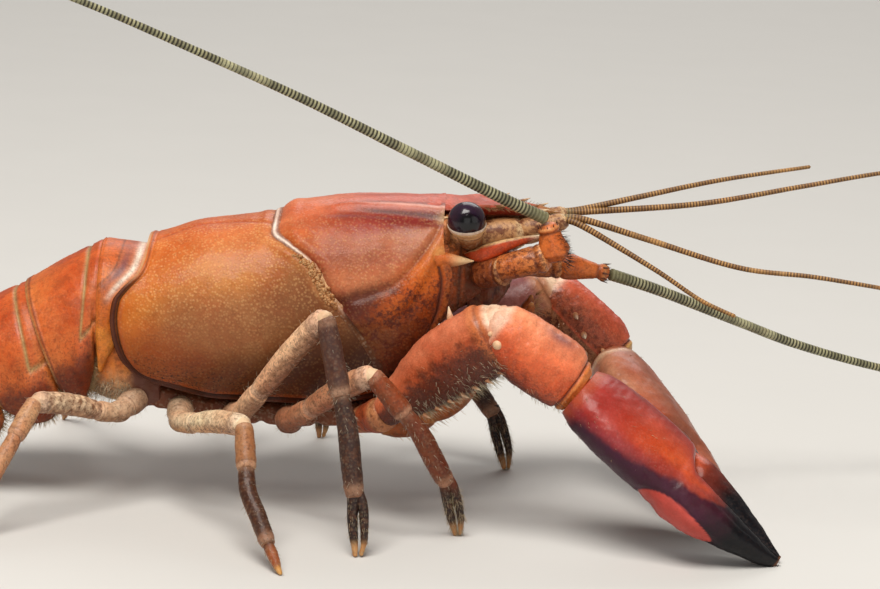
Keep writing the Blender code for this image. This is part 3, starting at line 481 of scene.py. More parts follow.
shellLook = {
    "cloudScale": 170.0, "cloudTint": rgb(205, 140, 105), "warm": 0.15, "warmTint": rgb(205, 130, 80),
    "mottleScale": 900.0, "mottleTint": rgb(88, 36, 20),
    "speckleScale": 2900.0, "speckleTint": rgb(206, 160, 104), "speckleStrength": 0.62,
    "stippleScale": 4200.0, "stippleTint": rgb(62, 36, 22),
    "roughness": 0.42, "coat": 0.06, "coatRoughness": 0.25, "specular": 0.28,
    "granules": 0.5, "grainScale": 3500.0, "grain": 0.7, "bumpStrength": 0.3,
}
shellKinds = {  # what differs from the plain shell look in each material
    "carapace_shell": {"specular": 0.19, "coat": 0.1, "coatRoughness": 0.16},
    "tail_shell": {"speckleStrength": 0.35, "granules": 0.2, "cloudScale": 240.0, "grain": 0.5,
                   "cloudTint": rgb(200, 120, 90)},
    "claw_shell_painted": {"roughness": 0.38, "coat": 0.1, "mottleScale": 1500.0, "granules": 0.3,
                           "speckleScale": 3600.0, "speckleStrength": 0.6, "cloudScale": 210.0,
                           "speckleTint": rgb(190, 130, 90)},
    "hand_shell_painted": {"roughness": 0.35, "coat": 0.08, "specular": 0.24, "grain": 0.4,
                           "bumpStrength": 0.18,
                           "mottleScale": 2300.0, "granules": 0.15, "speckleScale": 3000.0,
                           "speckleStrength": 0.7,
                           "cloudScale": 260.0, "speckleTint": rgb(150, 120, 110),
                           "cloudTint": rgb(205, 140, 120)},
    "leg_shell_painted": {"roughness": 0.46, "coat": 0.05, "mottleScale": 1500.0, "stippleScale": 3300.0,
                          "speckleScale": 2600.0, "mottleTint": rgb(110, 66, 40),
                          "stippleTint": rgb(62, 36, 26),
                          "speckleStrength": 0.6, "speckleTint": rgb(190, 170, 140)},
    "soft_skin": {"roughness": 0.5, "granules": 0.6, "speckleScale": 2400.0, "grain": 1.0,
                  "bumpStrength": 0.5,
                  "speckleTint": rgb(240, 226, 196), "mottleTint": rgb(104, 58, 32)},
    "feeler_rings": {"roughness": 0.5, "granules": 0.0, "grain": 0.5, "warm": 0.1,
                     "cloudTint": rgb(225, 225, 215)},
}
carapaceMaterial, tailMaterial, clawMaterial, handMaterial, legMaterial, skinMaterial, feelerMaterial = (
    shellMaterial(name, {**shellLook, **changes}) for name, changes in shellKinds.items())
corneaMaterial = eyeMaterial("cornea", {
    "facetScale": 9000.0, "cloudScale": 900.0, "roughness": 0.2, "coat": 0.35, "coatRoughness": 0.04,
    "specular": 0.25})
bristleMaterial = hairMaterial("bristles", {"cloudScale": 700.0, "darkest": 0.55, "roughness": 0.5})
print("stage 2: materials ready")


# Carapace: the same curves as the solids, with finer rings and the surface detail on top

backLine = ((-6.0, 27.7), (0.0, 28.6), (5.5, 30.4), (13.3, 31.9), (16.2, 33.3), (20.5, 33.9),
            (27.5, 34.5), (35.5, 34.8))
lowerLine = ((-6.0, 14.4), (1.5, 13.4), (9.0, 12.2), (18.0, 12.1), (26.5, 13.2), (31.0, 16.4), (35.5, 21.9))
halfWidthLine = ((-6.0, 8.8), (0.0, 9.9), (8.0, 10.8), (16.0, 10.6), (24.0, 10.1), (30.0, 9.1), (35.5, 6.9))
rearEdge = ((0.0, 1.6), (0.07, -0.8), (0.2, -2.3), (0.35, -3.0), (0.5, -3.3), (0.62, -3.1), (0.71, -2.2),
            (0.82, -0.6), (0.91, -0.15), (1.0, 0.0))
cervicalGroove = ((0.0, 27.0), (0.15, 26.3), (0.28, 25.1), (0.4, 23.5), (0.53, 21.3),
                  (0.61, 20.0), (0.7, 19.0), (0.76, 17.8), (0.85, 15.4), (0.94, 13.8), (1.0, 13.9))
frontEdge = ((0.0, 29.4), (0.15, 31.2), (0.34, 33.3), (0.51, 33.6), (0.62, 33.2), (0.72, 32.6),
             (0.86, 32.4), (1.0, 32.5))
widest = 0.42
tuck = math.radians(44)


def sectionOutline(count):
    # half section from the back down to the lower edge, evenly spaced, as (half width, height) shares
    upper = np.linspace(0, math.pi / 2, 400)
    lower = np.linspace(0, tuck, 200)[1:]
    y = np.concatenate([np.sin(upper) ** 0.94, np.cos(lower)])
    z = np.concatenate([widest + (1 - widest) * np.cos(upper), widest * (1 - np.sin(lower) / math.sin(tuck))])
    y[len(upper) - 1] = 1.0
    run = chordLengths(np.stack([y * 10.6, z * 19.6], axis=1))     # a usual half width and height in mm
    share = np.linspace(0, 1, count)
    share = share + 0.10 * (share**3 - share**2)     # a little denser at the low edge
    at = np.clip(share / share[-1], 0, 1) * run[-1]
    return np.interp(at, run, y), np.interp(at, run, z)


def shellGrid(startEdge, endEdge, along, halfCount):
    # the right side from the back down, the belly, and the left side up again
    y, z = sectionOutline(halfCount)
    belly = 9
    bellyShare = np.linspace(1, -1, belly + 2)[1:-1]
    ys = np.concatenate([-y, -y[-1] * bellyShare, y[:0:-1]])
    zs = np.concatenate([z, np.zeros(belly), z[:0:-1]])
    x = curve(startEdge, zs)[None, :] * (1 - along[:, None]) + curve(endEdge, zs)[None, :] * along[:, None]
    low, top, half = curve(lowerLine, x), curve(backLine, x), curve(halfWidthLine, x)
    points = np.stack([x, ys[None, :] * half, low + zs[None, :] * (top - low)], axis=2)
    return points, np.repeat(along[:, None], len(ys), axis=1), np.repeat(zs[None, :], len(along), axis=0)


def crowded(count, start, end):
    # 0 to 1 with more rows near the ends, as far as start and end ask
    t = np.linspace(0, 1, count)
    bow = np.sin(2 * math.pi * t) / (2 * math.pi)
    value = np.maximum.accumulate(t - start * bow * (t < 0.5) - end * bow * (t >= 0.5))
    return (value - value[0]) / (value[-1] - value[0])


thoraxLook = {
    "patches": [  # x, height share, spread in x, spread in height, colour
        (0.0, 0.90, 6.0, 0.16, rgb(214, 116, 44)),
        (6.0, 0.97, 8.0, 0.08, rgb(204, 108, 56)),
        (12.5, 0.93, 5.0, 0.12, rgb(200, 124, 70)),
        (8.0, 0.78, 8.0, 0.14, rgb(196, 122, 54)),
        (-1.5, 0.55, 3.0, 0.25, rgb(204, 118, 36)),
        (9.0, 0.50, 8.0, 0.18, rgb(158, 106, 64)),
        (18.0, 0.55, 5.0, 0.18, rgb(122, 74, 40)),
        (1.5, 0.18, 5.0, 0.16, rgb(164, 80, 24)),
        (9.0, 0.12, 8.0, 0.14, rgb(98, 56, 28)),
        (21.0, 0.20, 6.0, 0.16, rgb(66, 34, 18)),
    ],
    "rimColour": rgb(72, 30, 12), "rimLine": rgb(26, 12, 8), "rimInner": rgb(168, 82, 32),
    "backWash": rgb(180, 70, 44), "areola": rgb(150, 62, 40), "rimLight": rgb(110, 62, 36),
    "rearPale": rgb(204, 170, 130), "rearLine": rgb(96, 46, 28), "grooveSide": rgb(116, 62, 36),
    "grooveLight": rgb(196, 140, 84), "belly": rgb(98, 66, 50), "inside": rgb(140, 90, 60),
    "fold": (rgb(120, 70, 40), rgb(150, 88, 48)), "rows": 150, "halfCount": 120,
}


def makeThorax(look):
    along = crowded(look["rows"], 0.82, 0.35)
    points, s, z = shellGrid(rearEdge, cervicalGroove, along, look["halfCount"])
    x, y = points[..., 0], points[..., 1]
    g = Grid(points, s, z)
    fromRear = x - curve(rearEdge, z)
    toGroove = curve(cervicalGroove, z) - x
    low = curve(lowerLine, x)
    fromLow = (points[..., 2] - low) * 1.25 + np.where(z < 0.001, -2.0, 0.0)
    fromLow = np.where(z < 0.75, fromLow, 99.0)
    # the nearer of the two, rounded
    edge = -0.35 * np.log(np.exp(-fromRear / 0.35) + np.exp(-fromLow / 0.35))
    lobe = ease(0.86, 0.7, z)          # the thick rim runs from the shoulder of the rear edge down
    rimHeight = 0.13 * bell(edge, 0.25, 0.26) - 0.18 * bell(edge, 0.70, 0.14) + 0.05 * bell(edge, 1.05, 0.2)
    topRim = 0.1 * bell(fromRear, 0.45, 0.25) - 0.08 * bell(fromRear, 0.85, 0.15)
    amount = rimHeight * lobe + topRim * (1 - lobe)
    shown = ease(0.46, 0.56, z)      # the groove is only seen above this height
    amount = amount - 0.22 * bell(toGroove, 0.0, 0.5) * shown + 0.08 * bell(toGroove, 1.1, 0.5) * shown
    areola = bell(np.abs(y), 1.7 + 0.035 * (x - 6) ** 2, 0.28) * ease(-0.5, 1.5, x) * ease(0.9, 0.95, z)
    amount = amount - 0.13 * areola
    amount = amount + 0.05 * waves(points, 5.0, 3) * (z > 0.02)
    amount = amount * (z > 0.001)
    g.push(amount)
    paint = patchPaint(x, z, look["patches"])
    paint = blendTo(paint, look["backWash"], 0.28 * ease(0.95, 1.0, z))
    paint = paint * (1 + 0.07 * waves(points, 7.0, 5)[..., None])
    g.paint = washed(paint, (
        (look["areola"], 0.4 * areola),
        (look["rimInner"], 0.7 * bell(edge, 1.1, 0.25) * lobe),
        (look["rimColour"], ease(0.66, 0.5, edge) * lobe),
        (look["rimLight"], 0.55 * bell(edge, 0.22, 0.13) * lobe),
        (look["rimLine"], 0.95 * bell(edge, 0.70, 0.15) * lobe),
        (look["rearPale"], 0.75 * ease(0.42, 0.2, fromRear) * (1 - lobe)),
        (look["rearLine"], 0.6 * bell(fromRear, 0.6, 0.12) * (1 - lobe)),
        (look["grooveSide"], 0.5 * ease(0.7, 0.1, toGroove) * shown),
        (look["grooveLight"], 0.5 * bell(toGroove, 1.0, 0.5) * bell(z, 0.62, 0.1)),
        (look["belly"], ease(0.012, 0.0, z)),
    ))
    calm = ease(0.7, 1.3, edge)
    g.marks((0.2 * ease(0.3, 0.05, z) + 0.05) * calm,
            (0.3 + 0.7 * ease(0.3, 0.7, z)) * calm,
            np.clip((0.85 * ease(0.30, 0.06, z) + 0.16) * calm, 0, 1))
    fold = turnedIn(g, 0, ((0.985, 0.12), (0.955, 0.35), (0.93, 1.2), (0.90, 2.6)), (3.5, 0, 0),
                    *look["fold"])
    inwards = turnedIn(g, -1, ((0.985, 0.05), (0.96, -0.15), (0.93, -0.5)), (0, 0, 0), look["inside"])
    makePiece("carapaceThorax", [g, fold, inwards], carapaceMaterial, ("carapace_thorax",))


headLook = {
    "patches": [
        (17.0, 0.97, 5.0, 0.06, rgb(224, 130, 84)),
        (27.0, 0.99, 8.0, 0.05, rgb(190, 96, 80)),
        (18.0, 0.88, 3.5, 0.08, rgb(192, 98, 40)),
        (24.0, 0.91, 5.5, 0.045, rgb(146, 34, 12)),
        (31.0, 0.92, 3.2, 0.045, rgb(122, 22, 6)),
        (30.0, 0.82, 3.5, 0.05, rgb(192, 126, 90)),
        (24.5, 0.77, 5.0, 0.07, rgb(172, 102, 72)),
        (19.0, 0.76, 3.0, 0.07, rgb(160, 84, 52)),
        (22.0, 0.66, 4.0, 0.06, rgb(200, 126, 84)),
        (31.5, 0.58, 2.8, 0.10, rgb(204, 104, 30)),
        (23.5, 0.53, 3.0, 0.06, rgb(78, 26, 10)),
        (28.0, 0.48, 3.0, 0.08, rgb(142, 60, 16)),
        (32.5, 0.34, 2.5, 0.10, rgb(150, 68, 22)),
        (24.5, 0.32, 4.0, 0.09, rgb(110, 66, 32)),
        (28.0, 0.28, 3.0, 0.08, rgb(106, 44, 20)),
        (28.0, 0.10, 4.0, 0.09, rgb(58, 30, 20)),
    ],
    # ridgeHighlight: a painted highlight along the ridge behind the eye
    "ridgeHighlight": rgb(228, 172, 154), "ridgeShade": rgb(66, 10, 8), "ridgeFoot": rgb(118, 18, 8),
    "creaseLight": rgb(212, 110, 34), "creaseLine": rgb(92, 44, 26), "cornerPale": rgb(206, 176, 136),
    "rimLight": rgb(226, 168, 96), "rimLine": rgb(48, 24, 16), "rimColour": rgb(170, 96, 46),
    "grooveSide": rgb(112, 48, 28), "belly": rgb(98, 66, 50), "inside": rgb(140, 84, 54),
    "fold": (rgb(120, 62, 32), rgb(70, 34, 22)), "rows": 130, "halfCount": 120,
}
# the ridge behind the eye, as distance from the midline
ridgeLine = ((14.0, 3.2), (21.0, 2.9), (26.5, 3.4), (32.0, 3.9))


def makeHead(look):
    along = crowded(look["rows"], 0.5, 0.6)
    points, s, z = shellGrid(cervicalGroove, frontEdge, along, look["halfCount"])
    points[..., 0] += 0.3 * (1 - s) * (1 - s)
    x, y = points[..., 0], points[..., 1]
    g = Grid(points, s, z)
    fromGroove = x - curve(cervicalGroove, z) - 0.3
    toFront = curve(frontEdge, z) - x
    fromRidge = np.abs(y) - curve(ridgeLine, x)
    onRidge = ease(17.5, 22.0, x) * ease(0.86, 0.9, z)
    amount = 0.30 * bell(fromRidge, 0.0, 0.55) * onRidge - 0.22 * bell(fromRidge, 1.25, 0.6) * onRidge
    shown = ease(0.46, 0.56, z)
    amount = amount - 0.24 * bell(fromGroove, 0.0, 0.5) * shown + 0.16 * bell(fromGroove, 1.5, 0.9) * shown
    crease = z - (0.545 + 0.012 * (x - 22) + 0.006 * (x - 26.5) ** 2 * (x > 26.5))
    onCrease = ease(20.5, 23.0, x) * ease(33.0, 31.0, x)
    amount = amount - 0.26 * bell(crease, 0.0, 0.032) * onCrease + 0.08 * bell(crease, 0.06, 0.05) * onCrease
    amount = amount + 0.42 * bell(crease, -0.11, 0.08) * onCrease
    rimUp = 0.10 * ease(0.8, 0.1, toFront) * ease(0.2, 0.3, z)
    rimLine = 0.18 * bell(toFront, 1.05, 0.25) * ease(0.2, 0.3, z) * ease(0.74, 0.7, z)
    amount = amount + rimUp - rimLine
    amount = amount + 0.045 * waves(points, 4.0, 11) + 0.03 * waves(points, 1.4, 12) * ease(0.6, 0.3, z)
    g.push(amount * (z > 0.001))
    paint = patchPaint(x, z, look["patches"])
    paint = paint * (1 + 0.08 * waves(points, 5.0, 15)[..., None])
    g.paint = washed(paint, (
        (look["creaseLight"], 0.55 * bell(crease, -0.1, 0.08) * ease(24.0, 28.0, x) * ease(33.5, 32.5, x)),
        (look["creaseLine"], 0.5 * bell(crease, 0.0, 0.018) * onCrease),
        # painted highlight along the ridge behind the eye
        (look["ridgeHighlight"], 0.7 * bell(fromRidge, -0.35, 0.6) * onRidge * ease(21, 27, x)),
        (look["ridgeShade"], 0.95 * (bell(fromRidge, 0.8, 0.3) + 0.6 * bell(fromRidge, -1.0, 0.3)) * onRidge
         * ease(22, 25, x)),
        (look["ridgeFoot"], 0.85 * bell(fromRidge, 1.7, 0.7) * ease(17.5, 22.0, x) * ease(0.84, 0.87, z)),
        (look["cornerPale"], 0.85 * bell(x, 32.6, 0.9) * bell(z, 0.90, 0.03)),
        (look["rimLight"], 0.8 * bell(toFront, 0.5, 0.8) * bell(z, 0.70, 0.05)),
        (look["rimLine"], 0.9 * bell(toFront, 1.05, 0.2) * ease(0.2, 0.3, z) * ease(0.7, 0.64, z)),
        (look["rimColour"], 0.8 * ease(0.75, 0.55, toFront) * ease(0.72, 0.66, z)),
        (look["grooveSide"], 0.5 * ease(0.8, 0.1, fromGroove) * shown * ease(0.95, 0.8, z)),
        (look["belly"], ease(0.012, 0.0, z)),
    ))
    g.marks(np.clip(1.0 * ease(0.66, 0.5, z) * ease(21, 26, x) + 0.22 * ease(0.7, 0.4, z) + 0.14, 0, 1)
            * ease(0.2, 0.7, np.abs(toFront - 0.9) + 0.3),
            0.2 + 0.5 * ease(0.55, 0.7, z) * ease(0.97, 0.9, z),
            0.10 + 0.75 * ease(0.34, 0.15, z))
    inwards = turnedIn(g, 0, ((0.985, -0.02), (0.96, 0.2), (0.93, 0.6)), (1.5, 0, 0), look["inside"])
    fold = turnedIn(g, -1, ((0.985, -0.05), (0.95, -0.35), (0.86, -1.1)), (-0.9, 0, -1.0),
                    *look["fold"]).marks(0.5)
    makePiece("carapaceHead", [g, inwards, fold], carapaceMaterial, ("carapace_head",))


def shellPoint(x, z):
    # right side of the carapace at x and a share of its height
    yShares, zShares = sectionOutline(900)
    low, top, half = curve(lowerLine, x), curve(backLine, x), curve(halfWidthLine, x)
    y = np.interp(z, zShares[::-1], yShares[::-1])
    return np.stack([x, -y * half, low + z * (top - low)], axis=-1)


grooveLook = {
    "skin": rgb(240, 230, 218), "shade": rgb(136, 84, 62), "lineAt": 0.12, "lineWidth": 0.2,
    "vein": rgb(130, 110, 108), "crust": rgb(214, 178, 128), "crustDark": rgb(176, 124, 72),
    "granules": 190, "rows": 150, "columns": 26,
}


def makeGroove(look):
    # soft skin in the cervical groove; lower down it lies flush and only closes the seam
    grids = []
    heights = np.concatenate([np.linspace(0.0, 0.5, 50), np.linspace(0.5, 1.0, look["rows"])[1:]])
    t = np.linspace(-0.42, 0.68, look["columns"])
    for sign in sides.values():
        z = np.repeat(heights[:, None], len(t), 1)
        x = curve(cervicalGroove, z) + t[None, :]
        pts = shellPoint(x, z) * (1, -sign, 1)
        g = Grid(pts, z, t, False)
        if (g.normals[..., 1] * sign).mean() < 0:
            g.normals = -g.normals
        above = ease(0.46, 0.58, z)
        across = bell(g.around, 0.13, 0.34)
        bead = 0.17 * across + 0.05 * waves(pts, 1.3, 23)
        height = above * (bead - 0.24) + (1 - above) * (0.05 * across + 0.02)
        g.points = g.points + g.normals * height[..., None]
        besides = [p for p in headLook["patches"] if p[0] < 26 and p[1] < 0.6]
        paint = patchPaint(x, z, thoraxLook["patches"] + besides)
        crust = bell(z, 0.64, 0.11)
        line = bell(g.around, look["lineAt"], look["lineWidth"])
        veins = 0.6 * above * (bell(g.around, -0.13, 0.06) + bell(g.around, 0.4, 0.06)) * ease(0.7, 0.8, z)
        g.paint = washed(paint, (
            (look["shade"], 0.75 * above),
            (look["skin"], above * line),
            (look["vein"], veins),
            (look["crust"], above * crust),
            (look["crustDark"], above * ease(0.58, 0.52, z)),
        ))
        g.marks(0.1 + 0.5 * crust * above, 0.4, 0.5 * (1 - above) * ease(0.3, 0.1, z))
        grids.append(g)
        draw = np.random.RandomState(29 + int(sign))
        for _ in range(look["granules"]):     # crusty granules on the edge of the chest
            height = 0.52 + 0.27 * draw.beta(1.2, 1.3)
            x = float(curve(cervicalGroove, height)) + draw.normal(-0.35, 0.28)
            root = shellPoint(np.array(x), np.array(height)) * (1, -sign, 1)
            out = np.array([0.1, sign * 0.8, 0.5])
            size = draw.uniform(0.16, 0.34)
            shade = look["crust"] * draw.uniform(0.75, 1.15)
            grids.append(cone(root - out * 0.12, root + out * size * 1.3, size,
                              look["crustDark"], shade, 6, 8))
    makePiece("cervicalGroove", grids, skinMaterial, ("carapace_thorax",))


makeThorax(thoraxLook)
makeHead(headLook)
makeGroove(grooveLook)
print("stage 3: carapace")


# Rostrum: a blade with raised edges and a hollow between them, with teeth near its tip

rostrumLook = {
    "rows": (  # x, half width, low, top, hollow
        (25.0, 3.0, 32.0, 33.8, 0.05), (28.0, 3.5, 32.1, 34.1, 0.1), (30.6, 3.85, 32.4, 34.4, 0.28),
        (34.7, 3.7, 32.6, 34.5, 0.4), (38.6, 3.05, 32.8, 34.3, 0.4), (41.0, 2.35, 32.9, 34.0, 0.34),
        (43.0, 1.5, 32.9, 33.8, 0.22), (44.3, 0.75, 33.0, 33.6, 0.1), (45.1, 0.16, 33.3, 33.5, 0.0),
    ),
    "count": 90, "around": 56,
    "back": rgb(156, 60, 44), "side": rgb(136, 44, 30), "edge": rgb(182, 84, 56),
    "rootColour": rgb(190, 92, 74), "tip": rgb(150, 104, 60), "below": rgb(168, 116, 72),
}


def makeRostrum(look):
    rows = look["rows"]
    x = np.linspace(rows[0][0], rows[-1][0], look["count"])
    half, low, top, hollow = columns(rows, (1, 2, 3, 4), x)
    n = look["around"]
    upper = np.linspace(-1, 1, n // 2 + 1)
    lower = np.linspace(1, -1, n - n // 2 + 1)[1:-1]
    u = np.concatenate([upper, lower])
    isTop = np.concatenate([np.ones(len(upper)), np.zeros(len(lower))])
    uu, tt = np.abs(u)[None, :], isTop[None, :]
    dip = hollow[:, None] * (1 - uu**2) + 0.28 * ease(0.93, 1.0, uu)
    ridge = 0.16 * bell(uu, 0.86, 0.11) * ease(0.4, 0.8, half)[:, None]
    zTop = top[:, None] - dip + ridge
    zLow = low[:, None] + (top - 0.34 - low)[:, None] * uu**2.6
    z = np.where(tt > 0.5, zTop, zLow)
    y = u[None, :] * half[:, None] * (1 + 0.03 * tt * bell(uu, 0.9, 0.1))
    # towards its root the blade sinks into the shell
    share = np.clip(np.abs(y) / curve(halfWidthLine, x)[:, None], 0, 1)
    arch = widest + (1 - widest) * np.cos(np.arcsin(share ** (1 / 0.94)))
    low, high = curve(lowerLine, x)[:, None], curve(backLine, x)[:, None]
    shell = low + arch * (high - low)
    out = ease(32.6, 37.0, x)[:, None]
    sunk = shell - 0.3 + 0.35 * ease(27.5, 31.2, x)[:, None]
    keel = np.minimum(z, shell - 0.4 + 0.6 * ease(28.0, 33.0, x)[:, None])
    z = np.where(tt > 0.5, sunk * (1 - out) + z * out, keel)
    points = np.stack([np.repeat(x[:, None], len(u), axis=1), y, z], axis=2)
    g = Grid(points, x, u, True, np.array([x[0], 0, 33.0]), np.array([rostrumTipX, 0, 33.62]))
    g.points = g.points + g.normals * (0.03 * waves(g.points, 1.6, 31))[..., None]
    xx = g.along
    g.paint = washed(g.coloured(look["back"]), (
        (look["edge"], 0.8 * bell(uu, 0.86, 0.12) * tt),
        (look["side"], (1 - tt) * ease(0.5, 0.9, uu) + tt * ease(0.95, 1.0, uu)),
        (look["below"], (1 - tt) * ease(0.8, 0.4, uu)),
        (look["rootColour"], ease(39.5, 33.0, xx) * tt * 0.95),
        (look["tip"], ease(41.3, 43.6, xx)),
    ))
    g.marks(0.3, 0.25)
    return g


# teeth of the blade as (x, half width, height), then each spine's root and tip as (x, reach, height)
spineLook = {
    "teeth": ((38.4, 3.15, 34.2), (40.7, 2.5, 33.9), (42.7, 1.65, 33.6)),
    "toothRoot": rgb(122, 78, 40), "toothTip": rgb(226, 200, 160),
    "behindEye": ((31.0, 4.25, 32.6), (33.1, 4.6, 33.2)), "eyeRoot": rgb(196, 116, 76),
    "eyeTip": rgb(226, 196, 148),
    "cheek": ((31.0, 6.7, 28.7), (35.9, 7.25, 28.95)), "cheekRoot": rgb(204, 112, 46),
    "cheekTip": rgb(238, 210, 160),
}


def spineSet(look):
    grids = []
    for sign in sides.values():
        for x, half, z in look["teeth"]:
            root, tip = (x - 0.5, sign * (half - 0.45), z - 0.1), (x + 1.2, sign * (half + 0.35), z + 0.5)
            grids.append(cone(root, tip, 0.36, look["toothRoot"], look["toothTip"], detail=(0.3, 0, 0)))
        mirror = np.array((1, sign, 1))
        root, tip = look["behindEye"] * mirror
        grids.append(cone(root, tip, 0.42, look["eyeRoot"], look["eyeTip"], 10, 14))
        root, tip = look["cheek"] * mirror
        grids.append(cone(root, tip, 1.3, look["cheekRoot"], look["cheekTip"], 14, 22, (0.3, 0, 0)))
    return grids


rostrumGrids = [makeRostrum(rostrumLook)] + spineSet(spineLook)
makePiece("rostrum", rostrumGrids, carapaceMaterial, ("carapace_head",))


# Eyes on their stalks

besideEpistome = 4.45     # nothing beside the epistome comes nearer to the midline than this

eyeLook = {
    "radius": 2.1, "centre": (34.9, 6.5, 33.2), "axis": (-0.08, 0.3, 1.0), "seat": 0.4,
    "root": (35.7, 4.0, 29.9),
    # sheenTop and sheenRing: painted purple sheen on the dark eye
    "dark": rgb(18, 12, 20), "sheenTop": rgb(58, 34, 62), "ring": rgb(232, 222, 204),
    "sheenRing": rgb(62, 36, 56), "collar": rgb(216, 184, 132), "stalk": rgb(160, 106, 62),
    "stalkBand": rgb(120, 78, 52), "collarTop": -0.2,
    "stalkRadii": ((0.0, 1.15), (0.3, 1.3), (0.55, 1.42), (0.74, 1.55), (0.88, 1.86),
                   (0.95, 1.97), (1.0, 1.93)),
    "lowered": {"R": (0, 0, 0), "L": (0.4, -0.5, -1.6)},
}


def makeEye(label, sign, look):
    centre = np.array(look["centre"]) * (1, sign, 1) + np.array(look["lowered"][label])
    axis = unit(np.array(look["axis"]) * (1, sign, 1))
    side, front = sideAndTop(axis, (1.0, 0, 0))
    turn = circle(72)
    lat = np.linspace(math.asin(-look["seat"]), math.pi / 2 - 0.03, 46)
    outer = np.array([0.12, sign * 0.97, 0.1])
    r, h = np.cos(lat) * look["radius"], np.sin(lat) * look["radius"]
    ring = np.cos(turn)[:, None] * side + np.sin(turn)[:, None] * front
    points = centre + ring[None, :, :] * r[:, None, None] + axis[None, None, :] * h[:, None, None]
    seat = centre - axis * look["radius"] * look["seat"]
    g = Grid(points, lat, turn, True, seat, centre + axis * look["radius"])
    facing = ((points - centre) / look["radius"]) @ outer
    g.paint = washed(g.coloured(look["dark"]), (
        # painted purple sheen, growing towards the top and in a ring round the outward-facing middle
        (look["sheenTop"], 0.6 * ease(0.2, 1.0, g.along) * (0.6 + 0.4 * waves(points, 2.5, 7))),
        (look["sheenRing"], 0.7 * bell(facing, 0.55, 0.28)),
        (look["dark"] * 0.4, ease(0.82, 0.95, facing)),
    ))
    makePiece("eye" + label, [g], corneaMaterial, ("eye_" + label,))

    root = np.array(look["root"]) * (1, sign, 1)
    rows = []
    share = np.linspace(0, 1, 40)
    width = curve(look["stalkRadii"], share)
    width = width + 0.05 * bell(share, 0.68, 0.03) - 0.09 * bell(share, 0.62, 0.03)
    straight = root + (seat - root) * share[:, None]
    for c, w in zip(straight, width):
        rows.append(c + ring * w)
    climb = np.linspace(-look["seat"], look["collarTop"], 12)[1:]
    for h in climb:          # the collar rises round the lower part of the ball
        rows.append(centre + axis * look["radius"] * h + ring
                    * (look["radius"] * math.sqrt(1 - h * h) + 0.07))
    rows.append(centre + axis * look["radius"] * (look["collarTop"] + 0.01) + ring * look["radius"] * 0.9)
    pts = np.stack(rows)
    s = np.concatenate([share, np.linspace(1, 1.3, len(climb)), [1.3]])
    stalk = Grid(pts, s, turn, True, root, centre)
    # the side nearest the epistome is kept clear of it
    stalk.points[..., 1] = sign * np.maximum(np.abs(stalk.points[..., 1]), besideEpistome)
    stalk.paint = washed(stalk.coloured(look["stalk"]), (
        (look["collar"], ease(0.4, 0.75, stalk.along)),
        (look["stalkBand"], 0.8 * bell(stalk.along, 0.62, 0.035)),
        (look["ring"], ease(0.98, 1.12, stalk.along)),
    ))
    stalk.marks(0.45 * ease(0.6, 0.3, stalk.along), 0.5)
    makePiece("eyestalk" + label, [stalk], skinMaterial, ("eyestalk_" + label,))


for label, sign in sides.items():
    makeEye(label, sign, eyeLook)
print("stage 4: rostrum and eyes")


# Underside and mouth

def slab(rows, around=48, count=60, power=0.6, bump=0.12, pitch=2.0, seed=1):
    # rounded bar from (x, half width, low, top) rows
    x = np.linspace(rows[0][0], rows[-1][0], count)
    half, low, top = columns(rows, (1, 2, 3), x)
    a = circle(around, math.pi / 2)
    c, s = squared(np.cos(a), power), squared(np.sin(a), power)
    points = np.stack([np.repeat(x[:, None], around, 1), half[:, None] * c[None, :],
                       (low + top)[:, None] / 2 + (top - low)[:, None] / 2 * s[None, :]], axis=2)
    g = Grid(points, x, a, True,
             np.array([x[0], 0, (low[0] + top[0]) / 2]), np.array([x[-1], 0, (low[-1] + top[-1]) / 2]))
    return g.push(-bump * (0.5 + 0.5 * waves(points, pitch, seed)))


underLook = {  # rows of (x, half width, low, top), then the colours
    "sternum": ((-1.5, 5.7, 9.6, 13.1), (2.0, 5.7, 9.7, 12.9), (7.0, 5.7, 8.9, 12.1), (12.0, 5.7, 8.5, 11.7),
                (17.0, 5.7, 8.5, 11.7), (22.0, 5.7, 8.8, 12.0), (26.4, 5.6, 9.6, 12.8)),
    "sternumFolds": (1.2, 7.4, 13.4, 19.6), "sternumColour": rgb(128, 72, 44), "foldColour": rgb(116, 66, 38),
    "epistome": ((34.7, 4.3, 23.0, 31.75), (36.4, 4.15, 23.2, 31.75), (37.6, 3.75, 23.5, 31.35),
                 (38.2, 2.85, 24.5, 30.5)),
    "epistomeColour": rgb(176, 108, 58), "epistomeLow": rgb(124, 66, 36),
    "socket": ((30.5, 5.4, 29.2, 31.8), (31.8, 5.6, 29.4, 33.0), (32.7, 5.5, 29.6, 33.4),
               (33.2, 5.0, 29.8, 33.3)),
    "socketColour": rgb(196, 128, 78),
    "orbit": ((30.6, 7.2, 19.5, 31.6), (32.6, 6.9, 20.6, 31.4), (34.2, 6.0, 22.0, 31.0),
              (36.0, 5.1, 23.0, 30.8), (38.1, 3.9, 24.0, 30.6)),
    "orbitColour": rgb(188, 98, 40), "orbitFront": rgb(122, 62, 34), "orbitLow": rgb(132, 64, 30),
    "orbitLine": rgb(60, 34, 24), "orbitTop": rgb(196, 158, 104),
    "mouth": ((26.8, 3.6, 10.9, 12.6), (29.0, 4.15, 11.5, 14.2), (32.0, 4.35, 13.7, 16.8),
              (35.2, 3.95, 17.1, 20.8), (37.4, 3.15, 19.8, 22.6), (38.8, 1.9, 21.4, 22.7)),
    "mouthColour": rgb(150, 84, 44),
    "jaws": ((35.5, 4.2, 20.5, 27.5), (37.5, 4.0, 21.5, 27.8), (39.0, 3.2, 23.0, 27.6),
             (40.2, 1.8, 24.8, 27.0)),
    "jawColour": rgb(122, 58, 32), "jawSpots": rgb(62, 28, 20),
}


